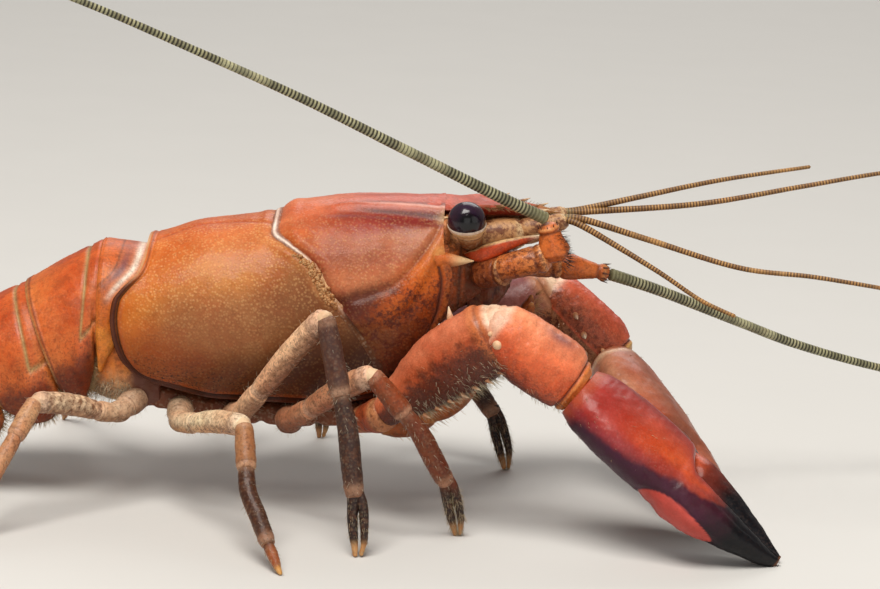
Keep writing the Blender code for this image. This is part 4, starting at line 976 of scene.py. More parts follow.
def makeUnderside(look):
    breastplate = slab(look["sternum"], 64, 130, 0.55, 0.1, 2.4, 41)
    folds = sum(bell(breastplate.along, x, 0.5) for x in look["sternumFolds"])
    breastplate.push(-0.35 * folds)
    breastplate.paint = blendTo(breastplate.coloured(look["sternumColour"]), look["foldColour"], 0.8 * folds)
    breastplate.marks(0.4, 0.5)
    makePiece("sternumPlate", [breastplate], skinMaterial, ("sternum",))

    wall = slab(look["epistome"], 64, 60, 0.7, 0.1, 1.6, 43)
    height = wall.points[..., 2]
    wall.paint = blendTo(wall.coloured(look["epistomeColour"]), look["epistomeLow"],
                         0.6 * ease(27, 24, height))
    wall.marks(0.7, 0.5)
    makePiece("epistomePlate", [wall], skinMaterial, ("epistome",))

    socket = slab(look["socket"], 60, 40, 0.6, 0.1, 1.2, 46)
    socket.paint[:] = look["socketColour"]
    socket.marks(0.6)
    orbit = slab(look["orbit"], 72, 90, 0.75, 0.22, 1.5, 45)
    height = orbit.points[..., 2]
    orbit.paint = washed(orbit.coloured(look["orbitColour"]), (
        (look["orbitFront"], ease(34.8, 35.3, orbit.along)),
        (look["orbitLow"], ease(26.0, 22.5, height)),
        (look["orbitLine"], 0.8 * bell(orbit.along, 34.5, 0.25)),
        (look["orbitTop"], 0.7 * ease(29.6, 31.0, height)),
    ))
    orbit.marks(0.8, 0.15)
    makePiece("orbitWall", [orbit, socket], skinMaterial, ("epistome",))

    mouth = slab(look["mouth"], 56, 80, 0.62, 0.16, 1.8, 47).marks(0.7)
    mouth.paint[:] = look["mouthColour"]
    jaws = slab(look["jaws"], 56, 60, 0.8, 0.3, 1.4, 48).marks(0.7)
    jaws.paint = blendTo(jaws.coloured(look["jawColour"]), look["jawSpots"],
                         0.8 * (waves(jaws.points, 1.7, 49) > 0.1))
    makePiece("mouthparts", [mouth, jaws], legMaterial, ("mouthparts",))


makeUnderside(underLook)


maxillipedLook = {  # each segment's path as (x, reach, height), then its radii along the path
    "segments": (
        (((26.9, 2.6, 8.9), (29.5, 2.7, 9.2), (32.0, 2.75, 10.8)),
         ((0, 1.1), (0.3, 1.45), (0.9, 1.5), (1, 1.25))),
        (((31.8, 2.75, 10.6), (34.4, 2.8, 12.3), (36.4, 2.8, 14.8)),
         ((0, 1.2), (0.3, 1.55), (0.85, 1.45), (1, 1.2))),
        (((36.3, 2.8, 14.6), (38.4, 2.8, 17.2), (39.9, 2.7, 18.9)),
         ((0, 1.05), (0.35, 1.35), (0.85, 1.2), (1, 0.95))),
        (((39.8, 2.7, 18.8), (41.2, 2.5, 20.4), (42.0, 2.3, 21.8)),
         ((0, 0.8), (0.3, 0.95), (0.8, 0.85), (1, 0.65))),
        (((41.9, 2.3, 21.7), (42.5, 2.05, 22.8), (42.6, 2.0, 23.5)),
         ((0, 0.6), (0.3, 0.65), (0.8, 0.4), (1, 0.2))),
    ),
    "colour": rgb(178, 96, 44), "joint": rgb(226, 170, 104), "lower": rgb(116, 58, 34),
}


def makeMaxilliped(label, sign, look):
    grids = []
    for k, (path, radii) in enumerate(look["segments"]):
        g = tube(np.array(path) * (1, sign, 1), radii, 34, 30)
        g.paint = washed(g.coloured(look["colour"]), (
            (look["joint"], 0.7 * (bell(g.along, 1, 0.12) + bell(g.along, 0, 0.1))),
            (look["lower"], 0.5 * ease(-0.1, -0.8, g.normals[..., 2])),
        ))
        g.marks(0.6).push(0.03 * waves(g.points, 1.2, 61 + k))
        grids.append(g)
    makePiece("maxilliped" + label, grids, legMaterial, ("maxilliped_" + label,))


for label, sign in sides.items():
    makeMaxilliped(label, sign, maxillipedLook)


# Feelers

antennaPaths = {
    "R": ((43.4, -7.45, 34.1), (38.3, -9.6, 36.6), (27.4, -14.0, 42.2), (16.7, -18.0, 47.6),
          (6.3, -22.0, 52.4), (-6.0, -26.0, 57.7), (-19.0, -29.4, 62.2), (-32.0, -32.4, 65.6)),
    "L": ((51.5, 7.1, 25.35), (57.5, 9.5, 23.2), (67.0, 14.0, 19.1), (74.4, 17.0, 16.1), (84.4, 20.6, 13.1),
          (98.0, 26.0, 9.8), (112.0, 31.6, 7.2), (126.0, 37.0, 5.6)),
}
peduncles = {
    "R": (((36.6, -4.6, 27.0), (39.4, -6.9, 28.0), 1.75, 1.6),
          ((38.4, -6.7, 28.0), (43.8, -7.1, 29.8), 1.4, 1.55),
          ((44.7, -7.1, 29.9), (43.7, -7.3, 33.3), 1.75, 1.15)),
    "L": (((36.6, 4.6, 26.7), (40.8, 6.5, 26.2), 1.75, 1.6),
          ((40.2, 6.5, 26.2), (46.0, 6.7, 26.2), 1.35, 1.5),
          ((45.6, 6.7, 26.2), (51.1, 7.0, 25.5), 1.5, 0.9)),
}
antennuleWhips = {
    "R": (((45.2, -2.1, 33.1), (47.6, -2.5, 33.3), (55.1, -3.3, 31.5), (65.0, -4.6, 29.2),
           (73.7, -5.8, 28.8), (85.7, -7.0, 27.6)),
          ((45.2, -2.1, 33.1), (47.0, -2.9, 32.9), (50.7, -4.0, 31.2), (56.2, -6.0, 28.5),
           (60.7, -7.4, 26.0), (64.5, -8.4, 24.6))),
    "L": (((45.2, 2.1, 33.1), (47.8, 2.6, 33.5), (54.0, 3.2, 35.1), (62.9, 4.6, 37.2), (72.9, 6.0, 39.0)),
          ((45.2, 2.1, 33.1), (48.2, 2.3, 33.3), (60.7, 3.0, 34.7), (71.8, 3.6, 37.1), (80.8, 4.4, 39.0),
           (90.0, 5.4, 40.4))),
}
feelerLook = {
    "pale": rgb(176, 172, 136), "dark": rgb(48, 46, 34), "root": rgb(120, 116, 84), "pitch": 0.44,
    "depth": 0.035, "rowsPerRing": 4, "around": 12,
}
antennuleLook = {  # each segment's path as (x, reach, height), then its radii along the path
    "segments": (
        (((36.4, 2.2, 30.2), (38.6, 2.3, 31.0), (41.1, 2.3, 31.35)),
         ((0, 1.7, 1.9), (0.4, 1.7, 1.95), (0.85, 1.6, 1.7), (1, 1.3, 1.4))),
        (((40.8, 2.25, 31.3), (42.2, 2.15, 31.8), (43.8, 2.1, 32.2)),
         ((0, 1.2, 1.3), (0.35, 1.42, 1.5), (0.85, 1.25), (1, 1.0))),
        (((43.5, 2.1, 32.15), (44.7, 2.1, 32.6), (45.8, 2.12, 33.0)),
         ((0, 0.9), (0.3, 1.1), (0.85, 0.92), (1, 0.7))),
    ),
    "colour": rgb(176, 128, 84), "end": rgb(214, 186, 146), "joint": rgb(96, 58, 36),
    "whip": {**feelerLook, "pale": rgb(182, 138, 82), "dark": rgb(84, 54, 32), "pitch": 0.34, "depth": 0.02},
}
peduncleLook = {
    "colours": (rgb(148, 78, 38), rgb(208, 124, 62), rgb(204, 108, 46)), "mottle": (0.9, 0.8, 0.35),
    "lower": rgb(116, 60, 32), "end": rgb(222, 176, 116), "endLine": rgb(90, 44, 26),
    "spines": 9, "spineRoot": rgb(96, 52, 30), "spineTip": rgb(50, 28, 20),
}


def throughEach(points, count):
    # rounded path that passes through each point, first with count steps
    n = len(points) - 1
    u = np.linspace(0, n, count)
    i = np.minimum(u.astype(int), n - 1)
    t = (u - i)[:, None]
    p = [points[np.clip(i + k, 0, n)] for k in (-1, 0, 1, 2)]
    return 0.5 * (2 * p[1] + (p[2] - p[0]) * t + (2 * p[0] - 5 * p[1] + 4 * p[2] - p[3]) * t**2
                  + (3 * p[1] - p[0] - 3 * p[2] + p[3]) * t**3)


def ringedWhip(points, thick, thin, look):
    path = throughEach(np.asarray(points, dtype=float), 1200)
    run = chordLengths(path)
    rows = int(run[-1] / look["pitch"]) * look["rowsPerRing"] + 1
    at = np.linspace(0, run[-1], rows)
    path = np.stack([np.interp(at, run, path[:, k]) for k in range(3)], axis=1)
    phase = at / look["pitch"] % 1.0
    radius = 0.5 * (thick + (thin - thick) * (at / run[-1]) ** 0.7)
    radius = radius * (1 + look["depth"] * np.where(phase < 0.2, -1.6, 0.6))
    direction, side, top = framesOf(path, (0, 0, 1))
    a = circle(look["around"])
    ring = side[:, None, :] * np.cos(a)[None, :, None] + top[:, None, :] * np.sin(a)[None, :, None]
    points = path[:, None, :] + ring * radius[:, None, None]
    g = Grid(points, at / run[-1], a, True, path[0], path[-1] + direction[-1] * thin * 0.4)
    band = np.where((phase > 0.15) & (phase < 0.72), 1.0, 0.0)[:, None]
    g.paint = washed(g.coloured(look["dark"]), (
        (look["pale"], band * (0.75 + 0.25 * np.cos(at * 1.7))[:, None]),
        (look["root"], 0.8 * ease(0.045, 0.0, g.along)),
    ))
    return g.marks(stipple=0.25)


def peduncleGrid(start, end, r0, r1, k, sign, look):
    start, end = np.array(start), np.array(end)
    radii = ((0, r0 * 0.82), (0.15, r0), (0.8, r1), (0.94, r1 * 0.98), (1, r1 * 0.8))
    g = tube([start, start + (end - start) * 0.5, end], radii, 40, 44, capStart=0.4, capEnd=0.35)
    g.push(0.06 * waves(g.points, 1.5, 71 + k) + 0.07 * bell(g.along, 0.9, 0.07)
           - 0.09 * bell(g.along, 0.8, 0.04))
    g.paint = washed(g.coloured(look["colours"][k]), (
        (look["lower"], 0.55 * ease(-0.2, -0.9, g.normals[..., 2])),
        (look["end"], 0.5 * bell(g.along, 0.94, 0.045)),
        (look["endLine"], 0.6 * bell(g.along, 0.8, 0.04)),
    ))
    g.marks(look["mottle"][k], 0.4)
    if abs(start[1]) < 6:
        g.points[..., 1] = sign * np.maximum(np.abs(g.points[..., 1]), besideEpistome)
    return g


def makeAntenna(label, sign, look):
    grids = [peduncleGrid(*row, k, sign, look) for k, row in enumerate(peduncles[label])]
    start, end = (np.array(p, dtype=float) for p in peduncles[label][2][:2])
    up = unit(end - start)
    side, top = sideAndTop(up, (0.3, 0.1, 1))
    for k in range(look["spines"]):     # short stout spines round the end of the last segment
        a = 2 * math.pi * k / look["spines"]
        out = side * math.cos(a) + top * math.sin(a)
        root = end - up * 0.6 + out * 0.9
        grids.append(cone(root, root + up * 0.9 + out * 0.25, 0.14, look["spineRoot"],
                          look["spineTip"], 5, 7))
    makePiece("antennaBase" + label, grids, clawMaterial, ("antenna_base_" + label,))
    whip = ringedWhip(antennaPaths[label], 1.4, 0.5, feelerLook)
    makePiece("antennaWhip" + label, [whip], feelerMaterial,
              ("antenna_whip_inner_" + label, "antenna_whip_outer_" + label))


def makeAntennule(label, sign, look):
    grids = []
    for k, (path, radii) in enumerate(look["segments"]):
        g = tube(np.array(path) * (1, sign, 1), radii, 30, 34, capStart=0.3, capEnd=0.4)
        g.push(0.03 * waves(g.points, 1.1, 81 + k))
        g.paint = washed(g.coloured(look["colour"]), (
            (look["end"], 0.7 * bell(g.along, 0.95, 0.08)),
            (look["joint"], 0.7 * bell(g.along, 0.05, 0.06)),
        ))
        grids.append(g.marks(0.85, 0.6))
    for path in antennuleWhips[label]:
        grids.append(ringedWhip(path, 0.85, 0.42, look["whip"]))
    makePiece("antennule" + label, grids, feelerMaterial, ("antennule_" + label,))


scaleLook = {
    "rows": (  # x, middle, half width, thickness, height
        (34.9, 5.4, 0.2, 0.3, 29.3), (35.8, 5.5, 0.7, 1.5, 29.3), (37.0, 5.5, 1.0, 2.4, 29.6),
        (38.4, 5.45, 1.05, 2.2, 30.15), (40.2, 5.3, 0.92, 1.5, 30.85), (41.6, 5.2, 0.7, 1.0, 31.3),
        (42.8, 5.3, 0.35, 0.5, 31.65), (43.5, 5.35, 0.05, 0.1, 31.85),
    ),
    "root": (34.8, 5.4, 29.3), "point": (43.55, 5.35, 31.86),
    "side": rgb(200, 74, 28), "top": rgb(222, 184, 130), "below": rgb(110, 44, 22), "tip": rgb(238, 222, 190),
    "spine": ((36.6, 5.7, 27.9), (41.0, 6.1, 29.5)), "spineRoot": rgb(190, 88, 40),
    "spineTip": rgb(236, 206, 160),
}


def makeScale(label, sign, look):
    mirror = np.array((1, sign, 1))
    x = np.linspace(look["rows"][0][0], look["rows"][-1][0], 50)
    middle, half, thick, z = columns(look["rows"], (1, 2, 3, 4), x)
    a = circle(40)
    c, s = np.cos(a), np.sin(a)
    outline = squared(s, 0.8) * (0.36 + 0.16 * c)
    y = sign * (middle[:, None] + half[:, None] * c[None, :])
    points = np.stack([np.repeat(x[:, None], len(a), 1), y,
                       z[:, None] + thick[:, None] * outline[None, :]], axis=2)
    g = Grid(points, x, a, True, look["root"] * mirror, look["point"] * mirror)
    g.push(0.03 * waves(points, 1.3, 91))
    g.paint = washed(g.coloured(look["side"]), (
        (look["top"], ease(0.45, 0.85, g.normals[..., 2])),
        (look["below"], 0.7 * ease(-0.3, -0.8, g.normals[..., 2])),
        (look["tip"], 0.8 * ease(41.4, 42.8, g.along)),
    ))
    root, tip = look["spine"] * mirror
    lower = cone(root, tip, 0.75, look["spineRoot"], look["spineTip"], 14, 18, (0.4, 0.3, 0))
    makePiece("antennalScale" + label, [g.marks(0.35, 0.4), lower], clawMaterial,
              ("antennal_scale_" + label,))


for label, sign in sides.items():
    makeAntenna(label, sign, peduncleLook)
    makeAntennule(label, sign, antennuleLook)
    makeScale(label, sign, scaleLook)
print("stage 5: underside, mouth and feelers")


# Coat: every bristle is a thin solid of three sides

hairRoots = {}


def addHairs(piece, roots, directions, lengths, radius, colour, unwrap):
    # keeps bristles for a piece; unwrap is the place of each root on the flattened skin, between 0 and 1
    roots, directions = np.atleast_2d(roots), np.atleast_2d(directions)
    directions = directions / np.linalg.norm(directions, axis=1, keepdims=True)
    n = len(roots)
    hairRoots.setdefault(piece, []).append((
        roots, directions, np.broadcast_to(lengths, n), np.broadcast_to(radius, n),
        np.broadcast_to(np.asarray(colour, dtype=float), (n, 3)), np.atleast_2d(unwrap)))


bristleShape = {
    "levels": (0.0, 0.4, 0.75, 1.0), "widths": (1.0, 0.8, 0.5, 0.08), "sides": 3,
    # patch: its size on the OFBake map
    "rootShade": 0.72, "tipGain": 0.28, "shades": (0.8, 1.15), "lowest": 0.03, "patch": 0.003,
}


def growHairs(piece, seed, shape):
    parts = hairRoots[piece]
    roots, directions, lengths, radius, colour, unwrap = (np.concatenate([p[k] for p in parts])
                                                          for k in range(6))
    draw = np.random.RandomState(seed)
    n = len(roots)
    side = np.cross(directions, draw.normal(size=(n, 3)))
    side /= np.linalg.norm(side, axis=1, keepdims=True)
    other = np.cross(directions, side)
    levels, widths, sideCount = np.array(shape["levels"]), np.array(shape["widths"]), shape["sides"]
    turn = np.array([2 * k * math.pi / sideCount for k in range(sideCount)])
    t = levels[None, :, None]
    centre = roots[:, None, :] + directions[:, None, :] * lengths[:, None, None] * t
    ring = side[:, None, :] * np.cos(turn)[None, :, None] + other[:, None, :] * np.sin(turn)[None, :, None]
    size = radius[:, None] * widths[None, :]
    points = centre[:, :, None, :] + ring[:, None, :, :] * size[:, :, None, None]
    points[..., 2] = np.maximum(points[..., 2], shape["lowest"])
    bristleSize = len(levels) * sideCount
    base = np.arange(n)[:, None] * bristleSize
    quads = []
    for level in range(len(levels) - 1):
        for k in range(sideCount):
            j, low = (k + 1) % sideCount, level * sideCount
            quads.append(base + np.array([[low + k, low + j, low + sideCount + j, low + sideCount + k]]))
    ring = np.arange(sideCount)
    ends = (base + ring[::-1]).tolist() + (base + bristleSize - sideCount + ring).tolist()
    mesh = bpy.data.meshes.new(piece)
    mesh.from_pydata(((points.reshape(-1, 3) + shift) * mm).tolist(), [],
                     np.concatenate(quads).tolist() + ends)
    shade = colour[:, None, None, :] * (shape["rootShade"] + shape["tipGain"] * t[..., None])
    shade = shade * draw.uniform(*shape["shades"], (n, 1, 1, 1))
    addAttribute(mesh, "paint", np.broadcast_to(shade, points.shape).reshape(-1, 3))
    u = unwrap[:, 0, None, None] + shape["patch"] * (np.arange(sideCount)[None, None, :] / 2 - 0.5)
    v = unwrap[:, 1, None, None] + shape["patch"] * (levels[None, :, None] - 0.5)
    uv = np.stack(np.broadcast_arrays(np.clip(u, 0.001, 0.999), np.clip(v, 0.001, 0.999)),
                  axis=-1).reshape(-1, 2)
    corners = np.empty(len(mesh.loops), dtype=np.int64)
    mesh.loops.foreach_get("vertex_index", corners)
    mesh.uv_layers.new(name="OFBake").data.foreach_set("uv", uv[corners].astype(np.float32).ravel())
    mesh.shade_smooth()
    coat = addObject(piece, mesh, bristleMaterial)
    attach(coat, "root")


def hairsOnGrid(piece, g, chance, count, hair, lean, seed, slot, lift=1.0):
    # count bristles, each (length, radius, colour), where chance is high; lean bends them along the limb
    chance = np.clip(chance * count / chance.sum() if count else chance, 0, None)
    length, radius, colour = hair
    draw = np.random.RandomState(seed)
    rows, columnCount = g.points.shape[:2]
    weight = (chance / chance.sum()).ravel()
    n = int(chance.sum())
    pick = draw.choice(rows * columnCount, size=n, p=weight, replace=True)
    i, j = np.divmod(pick, columnCount)
    normal = g.normals[i, j]
    after = g.points[np.minimum(i + 1, rows - 1), j] - g.points[np.maximum(i - 1, 0), j]
    after = after / np.maximum(np.linalg.norm(after, axis=1, keepdims=True), 1e-9)
    direction = normal * lift + after * lean + draw.normal(size=(n, 3)) * 0.16
    lengths = length * draw.uniform(0.6, 1.2, n)
    jitter = draw.normal(size=(n, 3)) * 0.05
    unwrap = np.stack([slot[0] + (slot[1] - slot[0]) * j / columnCount,
                       slot[2] + (slot[3] - slot[2]) * i / rows], axis=1)
    addHairs(piece, g.points[i, j] + jitter - normal * 0.08, direction, lengths, radius, colour, unwrap)


# Tail

tailEdges = (  # x, top, tilt, height, half width of the back edge of each ring
    (-5.2, 27.8, 2.0, 13.9, 8.5), (-13.5, 22.7, 26.0, 14.2, 8.9), (-20.4, 18.5, 33.0, 13.0, 8.5),
    (-26.4, 14.2, 37.0, 11.2, 7.9), (-31.5, 10.4, 34.0, 9.0, 7.1), (-36.0, 7.5, 20.0, 6.0, 6.0),
)
tailLook = {
    "swell": ((0.0, 0.945), (0.12, 0.985), (0.45, 1.02), (0.8, 1.008), (1.0, 0.985)),
    "back": rgb(200, 92, 38), "backRear": rgb(214, 122, 58), "flank": rgb(186, 96, 44),
    # flap: painted shade over the lower part of each side flap, below its bulge
    "flap": rgb(112, 42, 12), "flapEdge": rgb(176, 106, 46), "belly": rgb(170, 108, 60),
    "lip": rgb(150, 118, 70),
    "groove": rgb(160, 146, 96),
    "rows": 84, "half": 100, "frontGlow": rgb(196, 112, 50), "lipLine": rgb(88, 46, 30),
    "inside": rgb(150, 96, 58),
    "lobe": ((-0.06, 0.25), (0.0, 0.42), (0.15, 0.78), (0.35, 0.97), (0.55, 1.0), (0.75, 0.92),
             (0.9, 0.66), (1.0, 0.4)),
    "bristle": (0.9, 0.024, rgb(196, 158, 108)),
}


def tailFrame(edge):
    tilt = math.radians(edge[2])
    return (np.array([edge[0], 0, edge[1]]), np.array([math.sin(tilt), 0, -math.cos(tilt)]),
            np.array([-math.cos(tilt), 0, -math.sin(tilt)]))


flapOutline = (  # share of the half width, then depth as shares of the body and of the flap below it
    (0.985, 1, 0.6), (0.95, 1, 0.92), (0.87, 0, 1), (0.8, 1, 0.75), (0.74, 1, 0.3), (0.62, 1.02, 0),
    (0.3, 1.04, 0), (0.0, 1.05, 0),
)


def tailSection(height, half, drop, count):
    # half outline from the back over the flap to the middle of the belly
    body = height * 0.66
    flap = body + (height - body) * drop
    a = np.linspace(0, math.pi / 2, 40)
    y = list(np.sin(a) ** 0.92 * half) + [half * wide for wide, _, _ in flapOutline]
    d = list(body * (1 - np.cos(a)))
    d += [flap if not ofBody else body * ofBody + (flap - body) * ofFlap for _, ofBody, ofFlap in flapOutline]
    outline = np.stack([y, d], axis=1)
    run = chordLengths(outline)
    at = np.linspace(0, run[-1], count)
    return np.interp(at, run, outline[:, 0]), np.interp(at, run, outline[:, 1]), at / run[-1], body


def ringGrid(rows, look):
    # rows: (point on the back, down, height, half width, drop) for each ring of points
    points, acrossShare, depth = [], [], []
    for point, down, height, half, drop in rows:
        y, d, run, body = tailSection(height, half, drop, look["half"])
        right = point + down * d[:, None] + np.array([0, -1, 0]) * y[:, None]
        left = point + down * d[::-1][1:-1, None] + np.array([0, 1, 0]) * y[::-1][1:-1, None]
        points.append(np.concatenate([right, left]))
        acrossShare.append(np.concatenate([run, run[::-1][1:-1]]))
        depth.append(np.concatenate([d, d[::-1][1:-1]]) / body)
    return np.stack(points), np.stack(acrossShare), np.stack(depth)


def mixedEdge(a, b, share):
    return tuple(p + (q - p) * share for p, q in zip(a, b))


def tailGrooves(share, depth):
    # a groove down each ring that turns forward above the side flap
    hinge = bell(share, 0.17 + 0.2 * depth**2, 0.03) * ease(0.9, 0.8, depth)
    shelf = bell(depth, 0.86, 0.03) * ease(0.36, 0.3, share)
    return hinge, shelf


def paintTail(g, share, run, depth, look, number):
    # run goes from 0 on the back to 1 in the middle of the belly; the flap ends near 0.72
    paint = washed(g.coloured(look["back"]), (
        (look["backRear"], 0.65 * ease(0.35, 0.95, share)),
        (look["flank"], 0.8 * ease(0.32, 0.95, depth) * (run < 0.7)),
        # painted shade on the lower part of each side flap
        (look["flap"], 0.9 * ease(0.88, 1.12, depth) * (run < 0.72)),
        (look["flapEdge"], 0.6 * bell(run, 0.665, 0.03)),
        (look["belly"], ease(0.69, 0.74, run)),
    ))
    hinge, shelf = tailGrooves(share, depth)
    paint = washed(paint, (
        (look["groove"], 0.8 * np.maximum(hinge, shelf) * (run < 0.66)),
        (look["frontGlow"], 0.6 * ease(0.2, 0.05, share) * ease(0.1, 0.5, depth) * (run < 0.66)),
        (look["lip"], 0.7 * ease(0.955, 0.985, share) * (run < 0.7)),
        (look["lipLine"], 0.7 * bell(share, 0.945, 0.015) * (run < 0.66)),
    ))
    paint = paint * (1 + 0.10 * waves(g.points, 4.5, 20 + number)[..., None])
    g.paint = paint
    g.marks(0.25 + 0.4 * ease(0.8, 1.2, depth), 0.35 * (run < 0.7), 0.12 + 0.35 * ease(0.5, 1.0, depth))


def makeTailRing(number, look):
    front, rear = tailEdges[number - 2], tailEdges[number - 1]
    share = np.linspace(-0.06, 1.0, look["rows"])
    rows = []
    for s in share:
        edge = mixedEdge(front, rear, max(s, 0.0))
        point, down, back = tailFrame(edge)
        hidden = max(-s, 0)     # the part that slides under the ring in front
        swell = float(curve(look["swell"], max(s, 0.0))) - 0.045 * hidden / 0.06
        point = point + down * (edge[3] * (1 - swell) * 0.3) - back * 1.1 * hidden / 0.06
        point = point + back * 0.3 * (1 - min(max(s, 0) / 0.1, 1))
        rows.append((point, down, edge[3] * swell, edge[4] * swell, float(curve(look["lobe"], s))))
    points, run, depth = ringGrid(rows, look)
    s = np.repeat(share[:, None], points.shape[1], 1)
    g = Grid(points, s, run)
    upper = run < 0.66
    hinge, shelf = tailGrooves(s, depth)
    amount = 0.09 * ease(0.90, 0.95, s) * upper - 0.16 * np.maximum(hinge, shelf) * upper
    amount = (amount + 0.66 * bell(depth, 1.12, 0.2) * bell(s, 0.45, 0.35) * upper
              + 0.10 * bell(run, 0.655, 0.02))
    amount = amount - 0.12 * shelf * upper
    amount = amount + 0.05 * waves(points, 3.5, 50 + number)
    g.push(amount)
    paintTail(g, s, run, depth, look, number)
    grids = [g]
    back = tailFrame(mixedEdge(front, rear, 0.5))[2]
    for end, inwards in ((0, -1), (-1, 1)):     # both open ends turn inwards
        rim = g.points[end]
        middle = rim.mean(axis=0)
        inner = [rim] + [middle + (rim - middle) * k + back * d * inwards
                         for k, d in ((0.975, 0.02), (0.94, -0.25), (0.85, -0.8))]
        cap = Grid(np.stack(inner), s[:4], run[:4], True, None, middle)
        cap.paint[:] = look["inside"]
        grids.append(cap)
    for sign in sides.values():
        if 2 <= number <= 5:
            grids += swimmeretGrids(number, sign, front, rear, swimmeretLook)
    makePiece(f"tailRing{number}", grids, tailMaterial, (f"tail_ring_{number}",))
    edgeOfFlap = bell(run, 0.655, 0.012) * (s > 0.05) * (s < 0.97)
    low = 0.02 + 0.15 * (number - 2)
    hairsOnGrid("setaeTail", g, edgeOfFlap, 1500 - 150 * number, look["bristle"], 0.35, 300 + number,
                (0.02, 0.98, low, low + 0.12))


swimmeretLook = {  # reach, width and sideways turn of the stem and the two blades; then radii and flatness
    "parts": ((0.5, 0.75, 0.0), (1.0, 0.95, 0.35), (0.94, 0.8, -0.35)),
    "radii": ((0, 0.6), (0.35, 1.0), (0.75, 0.9), (1, 0.35)), "flatness": 0.36,
    "colour": rgb(206, 140, 92), "end": rgb(168, 92, 60), "bristle": (1.0, 0.026, rgb(170, 128, 84)),
}


def swimmeretGrids(number, sign, front, rear, look):
    edge = mixedEdge(front, rear, 0.55)
    point, down, back = tailFrame(edge)
    root = point + down * edge[3] * 0.68 + np.array([0, sign * edge[4] * 0.45, 0])
    drift = unit(down * 0.8 + back * 0.45 + np.array([0, sign * 0.22, 0]))
    length = 5.6 - 0.5 * number
    grids = []
    for k, (reach, width, apart) in enumerate(look["parts"]):
        start = root - drift * 1.2 if k == 0 else root + drift * length * 0.4
        end = root + drift * length * reach + np.array([0, sign * apart * 1.2, 0])
        radii = [(at, width * wide, width * wide * look["flatness"]) for at, wide in look["radii"]]
        g = tube([start, (start + end) / 2, end], radii, 26, 24, (1, 0, 0))
        g.paint = blendTo(g.coloured(look["colour"]), look["end"], 0.6 * ease(0.5, 1, g.along))
        grids.append(g.marks(speckle=0.3))
        if k:
            low = 0.65 + 0.05 * (number - 2)
            hairsOnGrid("setaeTail", g, np.where(g.along > 0.45, 0.35, 0.02), None, look["bristle"], 1.1,
                        400 + number * 7 + k, (0.02, 0.98, low, low + 0.04))
    return grids


# the ring in the gap behind the carapace, and the soft belly between the chest and the tail
firstRingLook = {
    # paleEdgeHighlight: pale skin behind the carapace, brightened to white as a painted highlight
    "side": rgb(216, 124, 48), "low": rgb(236, 156, 58), "paleEdgeHighlight": rgb(240, 232, 214),
    "fold": rgb(116, 66, 74), "line": rgb(84, 48, 30), "drop": ((0, 0.3), (0.4, 0.8), (0.7, 1.0), (1, 0.75)),
    "belly": ((-7.8, 5.5, 12.6, 18.0), (-5.4, 6.9, 10.8, 20.5), (-2.5, 7.3, 9.9, 20.5), (0.0, 6.9, 9.6, 18.0),
              (2.2, 6.0, 9.6, 15.0)),
    "bellyColour": rgb(226, 140, 58), "bellyLow": rgb(212, 180, 140), "bellyFront": rgb(92, 44, 38),
    "bristle": (1.5, 0.026, rgb(226, 204, 170)),
}


